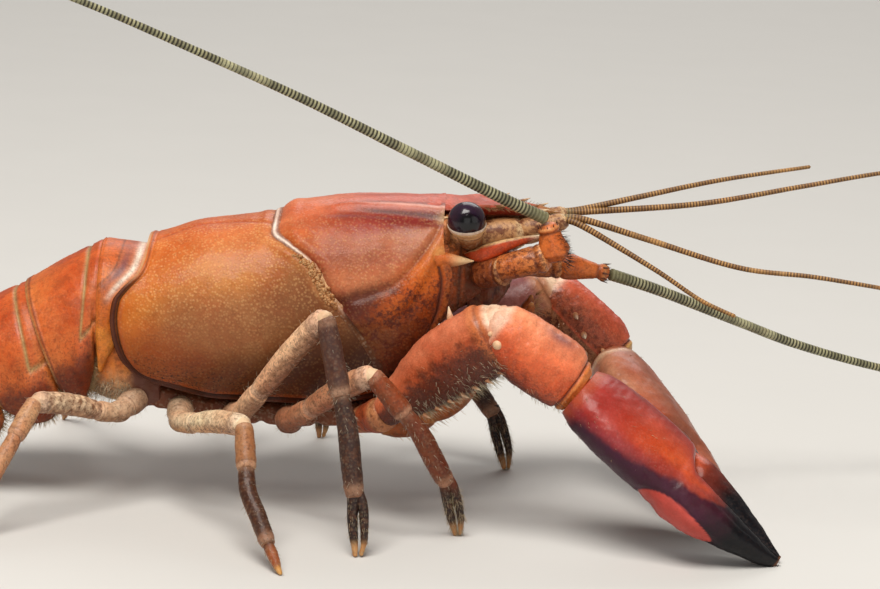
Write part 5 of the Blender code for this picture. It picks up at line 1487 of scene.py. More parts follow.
def makeFirstRing(look):
    rim = shellGrid(rearEdge, cervicalGroove, np.array([0.0, 1.0]), tailLook["half"] - 4)[0][0]
    total = len(rim)
    middle = rim.mean(axis=0)
    inner = middle + (rim - middle) * 0.80
    rear = tailEdges[0]
    point, down, back = tailFrame(rear)
    share = np.linspace(0, 1, 64)
    rows = []
    for s in share:
        y, d = tailSection(rear[3] * 0.98, rear[4] * 0.98, float(curve(look["drop"], s)), 2000)[:2]
        right = np.stack([np.zeros(len(y)), -y, -d], axis=1)
        left = right[::-1][1:] * (1, -1, 1)
        loop = np.concatenate([right, left])
        around = chordLengths(loop)
        at = np.linspace(0, around[-1], total, endpoint=False)
        place = np.stack([np.interp(at, around, loop[:, k]) for k in range(3)], axis=1)
        target = point + down * -place[:, 2:3] + np.array([0, 1, 0]) * place[:, 1:2] + back * (1.2 * (s - 1))
        t = float(ease(0.0, 0.75, s))
        start = inner + np.array([1.9 - 0.6 * s, 0, 0])
        rows.append(start * (1 - t) + target * t)
    pts = np.stack(rows)
    s = np.repeat(share[:, None], total, 1)
    height = (pts[..., 2] - pts[..., 2].min(axis=1, keepdims=True)) / 14.0
    g = Grid(pts, s, height, True, middle + np.array([2.2, 0, 0]), point + down * 7)
    g.push(-0.2 * ease(0.8, 1.0, s) - 0.08 * bell(s, 0.74, 0.04) + 0.04 * waves(pts, 3.0, 17))
    x = pts[..., 0]
    share = (pts[..., 2] - curve(lowerLine, x)) / (curve(backLine, x) - curve(lowerLine, x))
    behind = curve(rearEdge, np.clip(share, 0, 1)) - x      # distance behind the edge of the carapace
    high, shown = ease(0.55, 0.68, share) * ease(1.03, 0.95, share), ease(0.5, 0.6, share)
    g.paint = washed(g.coloured(look["side"]), (
        (tailLook["back"], 0.7 * ease(0.75, 0.95, share)),
        (look["low"], 0.8 * ease(0.5, 0.3, share)),
        # pale skin just behind the carapace, brightened to white as a painted highlight
        (look["paleEdgeHighlight"], 0.95 * bell(behind, 0.62, 0.42) * high),
        (look["fold"], 0.9 * bell(behind, 1.95, 0.7) * bell(share, 0.82, 0.13)),
        (look["line"], 0.7 * bell(behind, 2.75, 0.12) * shown),
        (tailLook["lip"], 0.6 * ease(0.95, 0.985, s)),
    ))
    g.marks(0.3, 0.3, 0.25)
    belly = slab(look["belly"], 60, 60, 0.75, 0.2, 2.0, 18).marks(0.4)
    x, y, height = belly.points[..., 0], belly.points[..., 1], belly.points[..., 2]
    belly.paint = washed(belly.coloured(look["bellyColour"]), (
        (look["bellyLow"], 0.85 * ease(15.0, 12.6, height + 0.7 * waves(belly.points, 0.9, 19))),
        (look["bellyFront"], 0.9 * ease(-1.6, -0.4, x) * ease(17.5, 15.5, height)),
    ))
    makePiece("tailRing1", [g, belly], tailMaterial, ("tail_ring_1",))
    lower = bell(height, 12.4, 1.2) * (x < -1.0) * (np.abs(y) > 4.5)
    hairsOnGrid("setaeTail", belly, lower, 700, look["bristle"], 0.0, 299, (0.02, 0.98, 0.9, 0.98), 0.7)


fanLook = {
    # share of the length, then width and thickness
    "shape": ((0.0, 0.36, 1.0), (0.14, 0.7, 1.0), (0.45, 0.96, 0.85), (0.72, 1.0, 0.7)),
    # the same, with the width as a share of blunt
    "end": ((0.9, 1.0, 0.6), (0.97, 0.72, 0.5), (1.0, 0.45, 0.4)),
    "colour": rgb(172, 84, 48), "rear": rgb(136, 100, 72), "edge": rgb(192, 128, 84), "line": rgb(84, 46, 30),
    "below": rgb(198, 130, 80), "bristle": (1.5, 0.03, rgb(164, 116, 72)), "bristles": 1100, "gap": 0.3,
    "telson": {"lift": -2.0, "length": 13.5, "width": 9.4, "thick": 1.5, "blunt": 0.85,
               "ridges": (-0.55, 0.55)},
    "plates": {"lift": -2.2, "thick": 1.1, "blunt": 0.75, "ridges": (0.0,)},
    # name, node, depth, reach, distance behind the ring, angle, length, width
    "lobes": (("tailPlateInner", "tail_plate_inner_", 2.9, 3.3, 0.7, 20, 13.0, 8.4),
              ("tailPlateOuter", "tail_plate_outer_", 4.3, 4.6, 1.3, 42, 13.4, 8.8)),
}


def plate(root, direction, lift, length, width, thick, blunt, ridges, seed):
    # flat rounded plate of the tail fan, with low ridges and a softer rear part
    look = fanLook
    side, top = sideAndTop(direction)
    shape = look["shape"] + tuple((at, blunt * wide, tall) for at, wide, tall in look["end"])
    s = 1 - (1 - np.linspace(0, 1, 90)) ** 1.3
    half, tall = columns(shape, (1, 2), s)
    half, tall = half * width / 2, tall * thick / 2
    a = circle(84)
    c, n = np.cos(a), np.sin(a)
    centre = root + direction * length * s[:, None] - np.array([0, 0, 1.0]) * (lift * s**2)[:, None]
    points = centre[:, None, :] + side * (half[:, None] * c[None, :])[..., None] \
        + top * (tall[:, None] * squared(n, 0.7)[None, :])[..., None]
    g = Grid(points, s, c, True, root, centre[-1] + direction * 0.1)
    amount = sum(0.16 * bell(g.around, place * (0.3 + 0.7 * g.along), 0.05) * ease(0.02, 0.2, g.along)
                 * ease(0.98, 0.7, g.along) for place in ridges)
    amount = amount - 0.08 * bell(g.along, 0.62, 0.015) + 0.03 * waves(points, 2.5, seed)
    amount = amount + 0.05 * np.sin(g.around * 60) * ease(0.66, 0.9, g.along)
    g.push(amount)
    paint = washed(g.coloured(look["colour"]), (
        (look["rear"], 0.7 * ease(0.3, 0.75, g.along)),
        (look["edge"], 0.6 * ease(0.82, 1.0, g.along)),
        (look["line"], 0.6 * bell(g.along, 0.62, 0.014)),
        (look["below"], 0.5 * ease(-0.2, -0.7, g.normals[..., 2])),
    ))
    g.paint = paint * (1 + 0.1 * waves(points, 3.0, seed + 1)[..., None])
    return g.marks(0.4, 0.4, 0.25)


def fringe(g, look, seed, slot):
    rim = bell(np.abs(g.around), 1.0, 0.06) * (g.along > 0.55) + (g.along > 0.985) * 0.8
    hairsOnGrid("setaeFan", g, rim, look["bristles"], look["bristle"], 0.9, seed, slot, 0.6)


def makeTailFan(look):
    point, down, back = tailFrame(tailEdges[-1])
    gap = look["gap"]
    middle = plate(point + down * 1.5 + back * (gap + 0.05), back, seed=131, **look["telson"])
    makePiece("telsonPlate", [middle], tailMaterial, ("telson",))
    fringe(middle, look, 501, (0.02, 0.98, 0.02, 0.18))
    for label, sign in sides.items():
        for k, (name, node, depth, reach, offset, angle, length, width) in enumerate(look["lobes"]):
            turn = np.array(Matrix.Rotation(math.radians(angle) * -sign, 3, "Z"))
            root = point + down * depth + back * (gap + offset) + np.array([0, sign * reach, 0])
            g = plate(root, unit(turn @ back), length=length, width=width, seed=140 + k, **look["plates"])
            makePiece(name + label, [g], tailMaterial, (node + label,))
            spot = 0.2 + 0.16 * (2 * k + (sign > 0))
            fringe(g, look, 510 + k + int(sign), (0.02, 0.98, spot, spot + 0.14))


makeFirstRing(firstRingLook)
for number in range(2, 7):
    makeTailRing(number, tailLook)
makeTailFan(fanLook)
print("stage 6: tail")


# Claws

clawTable = {  # shoulder, arm, elbow, wrist as (x, reach, height), then heading and roll in degrees
    "R": ((24.0, 6.1, 10.1), (27.0, 9.6, 11.9), (39.2, 14.0, 22.6), (47.2, 14.4, 17.2), -12.0, -7.0),
    "L": ((24.0, 6.1, 10.1), (30.0, 9.6, 12.4), (45.3, 13.7, 20.8), (52.5, 12.4, 14.1), 57.0, -40.0),
}
clawLook = {
    "length": 29.2, "width": 12.6, "depth": 6.6,
    "outer": ((0.0, 0.24), (0.1, 0.4), (0.3, 0.5), (0.5, 0.51), (0.62, 0.52), (0.75, 0.42),
              (0.9, 0.24), (1.0, 0.06)),
    "inner": ((0.0, 0.22), (0.08, 0.42), (0.25, 0.52), (0.45, 0.5), (0.65, 0.4), (0.85, 0.24), (1.0, 0.02)),
    "halfDepth": ((0.0, 0.36), (0.12, 0.48), (0.35, 0.5), (0.6, 0.4), (0.8, 0.25), (1.0, 0.09)),
    "palmEnd": 0.52, "fingerGap": 0.5,
    # share of the length and angle round the hand
    "stripeEdge": ((0.0, -0.4), (0.1, -0.2), (0.2, 0.0), (0.3, 0.16), (0.4, 0.4), (0.5, 0.7),
                   (0.6, 1.0), (0.65, 1.25), (0.7, 1.6), (0.76, 3.0), (1.0, 3.0)),
    "R": {"face": rgb(164, 54, 46), "orange": rgb(204, 84, 38), "top": rgb(146, 42, 40)},
    "L": {"face": rgb(178, 92, 62), "orange": rgb(160, 102, 74), "top": rgb(154, 100, 76)},
    "stripe": rgb(38, 12, 42), "patch": rgb(184, 74, 64), "black": rgb(5, 5, 12), "base": rgb(190, 100, 56),
    "fingerRoot": rgb(104, 38, 26), "rootBand": rgb(226, 190, 156), "redEdge": rgb(200, 78, 48),
    "stripeBlur": rgb(112, 44, 60), "inward": rgb(208, 172, 136), "handTip": rgb(150, 96, 60),
    "fingerTip": rgb(176, 120, 80), "bristle": (0.5, 0.022, rgb(196, 166, 122)),
}


def clawFrame(label, sign):
    wrist, heading, roll = clawTable[label][3:]
    root = Vector((wrist[0], sign * wrist[1], wrist[2]))
    level = math.sqrt(clawLook["length"] ** 2 - root.z ** 2)
    turn = math.radians(heading)
    along = Vector((level * math.cos(turn), -sign * level * math.sin(turn), -root.z)).normalized()
    outward = Vector((math.sin(turn), sign * math.cos(turn), 0))
    outward = Matrix.Rotation(math.radians(roll) * sign, 3, along) @ outward
    top = along.cross(outward).normalized()
    top = top if top.z > 0 else -top
    return (np.array(v) for v in (root, along, outward, top))


def halfTurns(a):
    # the same angles between minus and plus half a turn
    return (a + math.pi) % (2 * math.pi) - math.pi


def flatGrid(root, along, outward, top, s, low, high, depth, around):
    a = circle(around)
    middle, half = (low + high) / 2, (high - low) / 2
    wide = middle[:, None] + half[:, None] * squared(np.cos(a), 0.85)[None, :]
    tall = depth[:, None] * np.sin(a)[None, :]
    middles = root + along * (clawLook["length"] * s)[:, None, None]
    points = middles + outward * wide[..., None] + top * tall[..., None]
    tip = root + along * (clawLook["length"] * (s[-1] + 0.006)) + outward * middle[-1]
    base = root + along * (clawLook["length"] * s[0]) + outward * middle[0]
    return Grid(points, s, halfTurns(a), True, base, tip)


def teeth(s, start, end, pitch, seed):
    # rounded teeth of uneven size along a cutting edge
    draw = np.random.RandomState(seed)
    value = np.zeros(np.shape(s))
    at = start
    while at < end:
        size = draw.uniform(0.55, 1.0)
        value = np.maximum(value, size * bell(s, at, pitch * 0.42))
        at += pitch * draw.uniform(0.8, 1.15)
    return value


def onFloor(g):
    g.points[..., 2] = np.maximum(g.points[..., 2], 0.0)
    for pole in (g.startPole, g.endPole):
        if pole is not None:
            pole[2] = max(pole[2], 0.0)


def clawSlot(sign, low, high):
    # part of the coat's map for one side's claw
    return (0.02, 0.48, low, high) if sign < 0 else (0.52, 0.98, low, high)


def makeHand(label, sign, look):
    root, along, outward, top = clawFrame(label, sign)
    width, end = look["width"], look["palmEnd"]
    s = np.linspace(0.03, 0.985, 230)
    split = -0.03 * width * (1 - s)
    palm = ease(end - 0.045, end + 0.03, s)
    low = -curve(look["inner"], s) * width * (1 - palm) + (split + look["fingerGap"] / 2) * palm
    depth = curve(look["halfDepth"], s) * look["depth"]
    g = flatGrid(root, along, outward, top, s, low, curve(look["outer"], s) * width, depth, 104)
    a, ss = g.around, g.along
    inward = bell(np.abs(a), math.pi, 0.5)
    cutting = bell(np.abs(a), math.pi, 0.45) * ease(0.9, 1.0, palm)[:, None]
    amount = 0.30 * teeth(ss, end + 0.05, 0.96, 0.038, 5) * cutting * ease(1.0, 0.8, ss)
    amount = amount + 0.20 * teeth(ss, 0.08, end - 0.03, 0.05, 6) * bell(np.abs(a), math.pi, 0.3)
    lens = ((ss - 0.585) / 0.16) ** 2 + ((a + 0.6) / 0.78) ** 2      # soft patch on the outer edge
    amount = amount + 0.16 * ease(1.05, 0.5, lens) - 0.09 * bell(lens, 1.1, 0.12)
    amount = amount - 0.08 * bell(a, 1.4, 0.14) * ease(0.45, 0.6, ss) * ease(0.95, 0.8, ss)
    amount = amount + 0.06 * waves(g.points, 3.2, 151) + 0.02 * waves(g.points, 0.9, 152)
    g.push(amount * ease(0.03, 0.07, ss))
    colours = look[label]
    paint = washed(g.coloured(colours["face"]), (
        (colours["orange"], bell(a, 1.05, 0.75) * ease(0.12, 0.45, ss)),
        (colours["top"], 0.7 * bell(a, 2.05, 0.45) * ease(0.75, 0.5, ss)),
        (look["base"], 0.5 * ease(0.09, 0.04, ss)),
    ))
    if label == "L":
        paint = washed(paint, (
            (look["rootBand"], 0.75 * bell(ss, 0.085, 0.014)),
            (look["redEdge"], 0.75 * bell(a, 0.3, 0.35) * ease(0.1, 0.2, ss)),
        ))
    stripeEdge = curve(look["stripeEdge"], ss)
    wavy = a + 0.1 * waves(g.points, 2.2, 155)
    stripe = ease(stripeEdge + 0.3, stripeEdge - 0.15, wavy) * ease(-2.6, -2.1, a) * ease(0.03, 0.1, ss)
    patch = ease(1.06, 0.96, lens)
    dark = ease(0.62, 0.78, ss + 0.04 * waves(g.points, 4.0, 153) - 0.02 * np.cos(a)) * (1 - patch)
    paint = washed(paint, (
        (look["stripe"], 0.93 * stripe),
        (look["stripeBlur"], 0.5 * bell(wavy, stripeEdge + 0.25, 0.2) * ease(0.75, 0.6, ss)),
        (look["patch"], patch),
        (look["inward"], 0.4 * inward * ease(end - 0.08, end - 0.2, ss)),
        (look["black"], dark),
        (look["handTip"], 0.5 * ease(0.978, 0.985, ss)),
    ))
    g.paint = paint * (1 + 0.08 * waves(g.points, 2.6, 154)[..., None])
    g.marks(0.12 * (1 - dark) * (1 - stripe), 0.3 * (1 - 0.6 * dark) * (1 - 0.85 * stripe), 0.12)
    onFloor(g)
    makePiece("clawHand" + label, [g], handMaterial, ("claw_hand_" + label,))
    furry = 0.014 * (bell(np.abs(a), 1.6, 0.9) + 0.3) * ease(0.45, 0.3, ss)
    hairsOnGrid("setaeClaw", g, furry, None, look["bristle"], 0.9, 601 + int(sign),
                clawSlot(sign, 0.02, 0.3), 0.7)
    makeFinger(label, (root, along, outward, top), look)


def makeFinger(label, frame, look):
    width, end = look["width"], look["palmEnd"]
    s = np.linspace(end - 0.015, 0.985, 160)
    high = -0.03 * width * (1 - s) - look["fingerGap"] / 2
    low = np.minimum(-curve(look["inner"], s) * width, high - 0.4)
    depth = curve(look["halfDepth"], s) * look["depth"] * 0.86
    grown = ease(end - 0.03, end + 0.06, s)      # the root narrows into its socket
    low, high = low * (0.86 + 0.12 * grown), high + (low - high) * 0.25 * (1 - grown)
    g = flatGrid(*frame, s, low, high, depth * (0.72 + 0.28 * grown), 88)
    a, ss = g.around, g.along
    amount = (0.28 * teeth(ss, end + 0.09, 0.96, 0.036, 8) * bell(a, 0.0, 0.4)
              + 0.05 * waves(g.points, 2.6, 161))
    amount = (amount + 0.12 * bell(np.abs(a), 1.9, 0.25) * ease(end + 0.06, end + 0.2, ss)
              * ease(0.95, 0.7, ss))
    g.push(amount * ease(1.0, 0.85, ss))
    g.paint = washed(g.coloured(look[label]["orange"]), (
        (look["fingerRoot"], ease(0.5, 0.6, ss)),
        (look["black"], ease(0.6, 0.73, ss + 0.03 * waves(g.points, 3.0, 162))),
        (look["fingerTip"], 0.5 * ease(0.975, 0.985, ss)),
    ))
    g.marks(0.3 * ease(0.7, 0.55, ss), 0.2, 0.1)
    onFloor(g)
    makePiece("clawFinger" + label, [g], handMaterial, ("claw_finger_" + label,))


def limbGrid(start, end, table, rows, around, domeStart, domeEnd):
    # straight part of a limb from (share, half width, height above, height below) rows, with its two cross
    # directions
    direction, reach = unit(end - start), np.linalg.norm(end - start)
    side, top = sideAndTop(direction)
    s = np.linspace(table[0][0], table[-1][0], rows)
    half, high, low = columns(table, (1, 2, 3), s)
    a = circle(around)
    centre = start + direction * (reach * s)[:, None] + top * ((high - low) / 2)[:, None]
    tall = (high + low) / 2
    rings = [(centre[i], half[i], tall[i], s[i]) for i in range(rows)]

    def dome(end, push, turn):
        return (centre[end] + direction * push * math.sin(turn), half[end] * math.cos(turn),
                tall[end] * math.cos(turn), s[end])

    for k in range(1, capRows + 1):
        turn = math.pi / 2 * k / (capRows + 0.4)
        rings.append(dome(-1, domeEnd, turn))
        rings.insert(0, dome(0, -domeStart, turn))
    points = np.stack([c + side * (np.cos(a) * h)[:, None] + top * (np.sin(a) * t)[:, None]
                       for c, h, t, _ in rings])
    shares = np.array([r[3] for r in rings])
    first, last = centre[0] - direction * domeStart, centre[-1] + direction * domeEnd
    return Grid(points, shares, halfTurns(a), True, first, last), direction, side, top


def fromOuterSide(g, side, sign):
    # angles round a limb with 0 on its outer side and a quarter turn on top
    return g.around if side[1] * sign > 0 else (math.pi - np.abs(g.around)) * np.sign(g.around)


armLook = {
    "R": {"top": rgb(214, 126, 90), "side": rgb(178, 78, 34), "under": rgb(76, 26, 10),
          "end": rgb(214, 130, 72)},
    "L": {"top": rgb(140, 92, 104), "side": rgb(146, 88, 80), "under": rgb(150, 84, 50),
          "end": rgb(206, 150, 100)},
    "table": ((0.02, 1.75, 1.85, 1.6), (0.12, 2.05, 2.5, 2.0), (0.25, 2.3, 3.3, 2.4), (0.45, 2.7, 4.2, 3.0),
              (0.6, 2.95, 4.5, 3.4), (0.88, 3.1, 4.2, 3.7), (0.97, 2.95, 3.85, 3.5), (1.03, 2.5, 3.1, 3.0)),
    "shoulder": rgb(172, 84, 48), "shoulderBand": rgb(214, 168, 116), "elbowSkin": rgb(232, 214, 186),
    "endLine": rgb(96, 48, 30), "spineRoot": rgb(206, 150, 108), "spineTip": rgb(240, 222, 190),
    "knob": rgb(234, 208, 170), "knobs": ((0.5, 0.5), (-0.9, 1.05)),   # rise and size
    "bristle": (1.3, 0.026, rgb(226, 210, 176)), "bristles": 420,
}
wristLook = {
    "R": {"top": rgb(244, 154, 110), "side": rgb(214, 96, 50), "under": rgb(98, 20, 6),
          "end": rgb(206, 128, 60), "streak": rgb(112, 88, 100)},
    "L": {"top": rgb(198, 84, 60), "side": rgb(202, 98, 66), "under": rgb(190, 140, 92),
          "end": rgb(214, 176, 104), "streak": rgb(160, 70, 60)},
    "table": ((-0.12, 2.5, 2.7, 2.5), (-0.04, 2.95, 3.3, 3.0), (0.12, 3.25, 3.7, 3.4), (0.5, 3.6, 4.0, 3.65),
              (0.75, 3.5, 4.1, 3.45), (0.9, 3.25, 3.7, 3.15), (0.98, 3.0, 3.2, 2.9), (1.05, 2.75, 2.8, 2.7)),
    "inward": rgb(136, 78, 50), "endLine": rgb(70, 26, 18), "elbowSkin": rgb(236, 214, 188),
    "spineRoot": rgb(208, 150, 104), "spineTip": rgb(244, 232, 206), "tubercles": 26,
    "spines": ((0.3, 1.4, 0.8), (0.52, 0.6, 1.0), (0.68, -0.8, 0.85), (0.8, 0.9, 0.7), (0.42, -1.2, 0.6)),
    "bristle": (0.7, 0.024, rgb(214, 190, 150)), "bristles": 130,
}


def makeShoulder(label, sign, shoulder, arm, look):
    g = tube([shoulder, shoulder + (arm - shoulder) * 0.5, arm],
             ((0, 1.4), (0.5, 1.7), (0.8, 1.95), (1, 1.85)), 40, 44, capStart=0.1, capEnd=0.5)
    g.points[..., 1] = sign * np.maximum(np.abs(g.points[..., 1]), 6.05)
    g.push(0.06 * waves(g.points, 1.8, 171))
    bands = 0.6 * (bell(g.along, 0.95, 0.1) + bell(g.along, 0.3, 0.06))
    g.paint = blendTo(g.coloured(look["shoulder"]), look["shoulderBand"], bands)
    g.marks(0.6)
    makePiece("clawShoulder" + label, [g], clawMaterial, ("claw_shoulder_" + label,))


def makeArm(label, sign, look):
    shoulder, arm, elbow, wrist = (np.array((p[0], sign * p[1], p[2])) for p in clawTable[label][:4])
    makeShoulder(label, sign, shoulder, arm, look)
    colours = look[label]
    g, onward, side, top = limbGrid(arm, elbow, look["table"], 120, 84, 0.7, 1.7)
    s, a = g.along, fromOuterSide(g, side, sign)
    amount = (0.12 * bell(a, 1.45, 0.3) * ease(0.2, 0.5, s) + 0.10 * bell(s, 0.93, 0.04)
              - 0.16 * bell(s, 0.965, 0.02))
    amount = amount + 0.05 * ease(0.3, -0.4, a) * waves(g.points, 0.55, 177)
    amount = amount + 0.07 * waves(g.points, 2.4, 173) + 0.03 * waves(g.points, 0.9, 174)
    g.push(amount)
    # rough dark skin below
    crust = ease(0.35, -0.2, a + 0.3 * waves(g.points, 1.6, 176)) * ease(1.0, 0.9, s)
    paint = washed(g.coloured(colours["side"]), (
        (colours["top"], bell(a, 1.2, 0.8)),
        (colours["under"], ease(-0.3, -1.1, a)),
        (colours["under"], 0.85 * crust),
        (colours["end"], 0.65 * ease(0.86, 0.95, s)),
        (look["elbowSkin"], 0.9 * bell(s, 1.02, 0.024) * ease(-1.4, -0.6, a)),
        (look["endLine"], 0.6 * bell(s, 0.955, 0.012)),
    ))
    g.paint = paint * (1 + 0.08 * waves(g.points, 3.0, 175)[..., None])
    g.marks(np.clip(0.15 + 0.9 * ease(0.3, -0.3, a), 0, 1), 0.35, 0.15 + 0.5 * crust)
    grids = [g]
    outer = side * np.sign(side[1] * sign)
    for rise, size in look["knobs"]:     # pale knobs of the elbow
        knob = arm + (elbow - arm) * 1.0 + outer * 2.3 + top * rise
        radii = ((0, 0.7 * size), (0.6, 0.75 * size), (1, 0.5 * size))
        grids.append(tube([knob - outer * 0.3, knob + outer * 0.1, knob + outer * 0.5], radii, 10,
                          26, capEnd=0.8))
        grids[-1].paint[:] = look["knob"]
    peak = arm + (elbow - arm) * 0.74 + top * 3.7
    grids.append(cone(peak, peak + top * 1.9 + onward * 1.0, 0.6, look["spineRoot"],
                      look["spineTip"], 10, 14))
    draw = np.random.RandomState(21)
    for k in range(7):     # two rows of spines below
        share = 0.26 + 0.1 * k
        for offset in (-0.95, 0.95):
            under = arm + (elbow - arm) * share - top * (2.2 + 1.2 * share) - side * sign * offset * 1.2
            size = draw.uniform(0.7, 1.15)
            tip = under - top * 0.95 * size + onward * 0.5
            grids.append(cone(under, tip, 0.3 * size, look["spineRoot"], look["spineTip"], 7, 10))
    makePiece("clawArm" + label, grids, clawMaterial, ("claw_arm_" + label,))
    lower = bell(a, -1.3, 0.7) * ease(0.1, 0.2, s) * ease(1.0, 0.9, s)
    hairsOnGrid("setaeClaw", g, lower, look["bristles"], look["bristle"], 0.5, 610 + int(sign),
                clawSlot(sign, 0.35, 0.6))
    makeWrist(label, sign, elbow, wrist, wristLook)


def makeWrist(label, sign, elbow, wrist, look):
    colours = look[label]
    g, forearm, side, top = limbGrid(elbow, wrist, look["table"], 110, 84, 1.3, 0.4)
    s, a = g.along, fromOuterSide(g, side, sign)
    amount = -0.22 * bell(a, 0.55, 0.16) * ease(0.1, 0.3, s) * ease(0.95, 0.7, s)
    amount = amount + 0.1 * bell(s, 1.0, 0.025) - 0.2 * bell(s, 0.96, 0.016)
    amount = amount + 0.09 * waves(g.points, 2.2, 181) + 0.04 * waves(g.points, 0.8, 182)
    g.push(amount)
    innerFace = bell(np.abs(a), math.pi, 0.8)
    paint = washed(g.coloured(colours["side"]), (
        (colours["top"], bell(a, 1.3, 0.8)),
        (colours["under"], ease(-0.4, -1.2, a)),
        (colours["streak"], 0.8 * bell(a, 1.15, 0.24) * bell(s, 0.55, 0.2)),
        (colours["end"], 0.85 * ease(0.965, 0.985, s)),
        (look["inward"], 0.65 * innerFace),
        (look["endLine"], 0.9 * bell(s, 0.96, 0.011)),
        (look["elbowSkin"], 0.75 * bell(s, -0.1, 0.05)),
    ))
    g.paint = paint * (1 + 0.08 * waves(g.points, 2.6, 183)[..., None])
    g.marks(np.clip(0.14 + 0.4 * ease(0.0, -0.8, a) + 0.6 * innerFace, 0, 1), 0.55, 0.15)
    grids = [g]
    inner = -side * np.sign(side[1] * sign)
    pale, tip = look["spineRoot"], look["spineTip"]
    for share, rise, size in look["spines"]:
        base = elbow + (wrist - elbow) * share + inner * 2.9 + top * rise
        grids.append(cone(base, base + inner * 1.7 * size + forearm * 0.6 + top * 0.2, 0.55 * size,
                          pale, tip, 9, 12))
    draw = np.random.RandomState(31)
    for _ in range(look["tubercles"]):    # scattered and blunt, on the inner and lower sides
        share, turn = draw.uniform(0.15, 0.82), draw.uniform(-0.2, 1.6)
        out = inner * math.cos(turn) - top * math.sin(turn)
        base = elbow + (wrist - elbow) * share + out * 3.1
        grids.append(cone(base, base + out * draw.uniform(0.4, 0.75), draw.uniform(0.12, 0.24),
                          pale, tip, 6, 9))
    makePiece("clawWrist" + label, grids, clawMaterial, ("claw_wrist_" + label,))
    lower = bell(a, -1.5, 0.6)
    hairsOnGrid("setaeClaw", g, lower, look["bristles"], look["bristle"], 0.7, 620 + int(sign),
                clawSlot(sign, 0.65, 0.9))


for label, sign in sides.items():
    makeArm(label, sign, armLook)
    makeHand(label, sign, clawLook)
print("stage 7: claws")


# Walking legs

# hip x, then thigh, knee, wrist, ankle and foot as (x, reach, height), pincer, stride of the left leg, size
legTable = {
    2: (16.5, (16.8, 9.6, 10.7), (25.6, 17.4, 18.1), (30.9, 17.5, 12.2), (34.1, 15.9, 6.3), (35.4, 14.6, 0),
        True, 5.5, 1.06),
    3: (10.5, (11.2, 10.0, 11.0), (20.4, 19.2, 24.6), (23.4, 21.8, 13.1), (24.5, 23.7, 6.4), (24.9, 24.9, 0),
        True, -6.0, 1.06),
    4: (4.5, (4.8, 9.8, 9.8), (12.4, 21.2, 12.8), (13.3, 25.8, 7.2), (15.9, 30.6, 2.6), (17.4, 33.0, 0),
        False, -9.0, 1.0),
    5: (-0.2, (-2.2, 9.6, 10.4), (-10.2, 17.4, 13.2), (-12.6, 21.5, 8.6), (-15.5, 25.4, 3.0),
        (-16.8, 27.2, 0), False, 5.0, 0.96),
}
legPaint = {  # thigh, its lower side, carpus, shank, foot, pale end colours
    2: {"thigh": rgb(236, 176, 134), "lower": rgb(138, 70, 36), "carpus": rgb(134, 62, 28),
        "shank": rgb(104, 48, 24), "foot": rgb(36, 24, 22), "tip": rgb(196, 150, 96)},
    3: {"thigh": rgb(248, 204, 162), "lower": rgb(134, 78, 46), "carpus": rgb(74, 50, 44),
        "shank": rgb(54, 38, 34), "foot": rgb(34, 24, 24), "tip": rgb(196, 150, 96)},
    4: {"thigh": rgb(250, 232, 194), "lower": rgb(214, 160, 104), "carpus": rgb(158, 108, 70),
        "shank": rgb(62, 36, 24), "foot": rgb(150, 84, 44), "tip": rgb(214, 160, 84)},
    5: {"thigh": rgb(238, 212, 176), "lower": rgb(168, 120, 80), "carpus": rgb(204, 160, 118),
        "shank": rgb(190, 140, 100), "foot": rgb(176, 118, 84), "tip": rgb(206, 160, 110)},
}
farLegShade = {"carpus": rgb(70, 42, 32), "shank": rgb(44, 28, 26), "foot": rgb(22, 16, 18)}
legLook = {
    "endLine": rgb(70, 42, 30), "root": rgb(120, 60, 40), "thighEnd": rgb(226, 200, 176),
    "patches": rgb(96, 50, 24), "carpusEnd": rgb(200, 160, 130), "shankEnd": rgb(180, 140, 112),
    "pad": rgb(222, 196, 160),
    "tuft": rgb(206, 182, 142), "bristle": rgb(226, 212, 184), "bristleRadius": 0.02,
    # bristles and their length on the thigh, carpus, shank, coxa and ischium
    "bristles": ((90, 0.7), (40, 0.6), (130, 0.65), (40, 0.8), (40, 0.8)),
}


def paintLeg(g, main, lower, ends, seed, mottle, stipple):
    down = ease(0.1, -0.7, g.normals[..., 2])
    paint = washed(g.coloured(main), (
        (lower, 0.8 * down),
        (ends, 0.65 * bell(g.along, 0.96, 0.07) + 0.4 * bell(g.along, 0.03, 0.05)),
        (legLook["endLine"], 0.45 * bell(g.along, 0.88, 0.02)),
    ))
    g.paint = paint * (1 + 0.1 * waves(g.points, 1.8, seed)[..., None])
    g.marks(mottle * (0.5 + 0.5 * down), 0.3, stipple)
    g.push(0.04 * waves(g.points, 1.6, seed + 1) + 0.03 * bell(g.along, 0.94, 0.04)
           - 0.04 * bell(g.along, 0.88, 0.02))


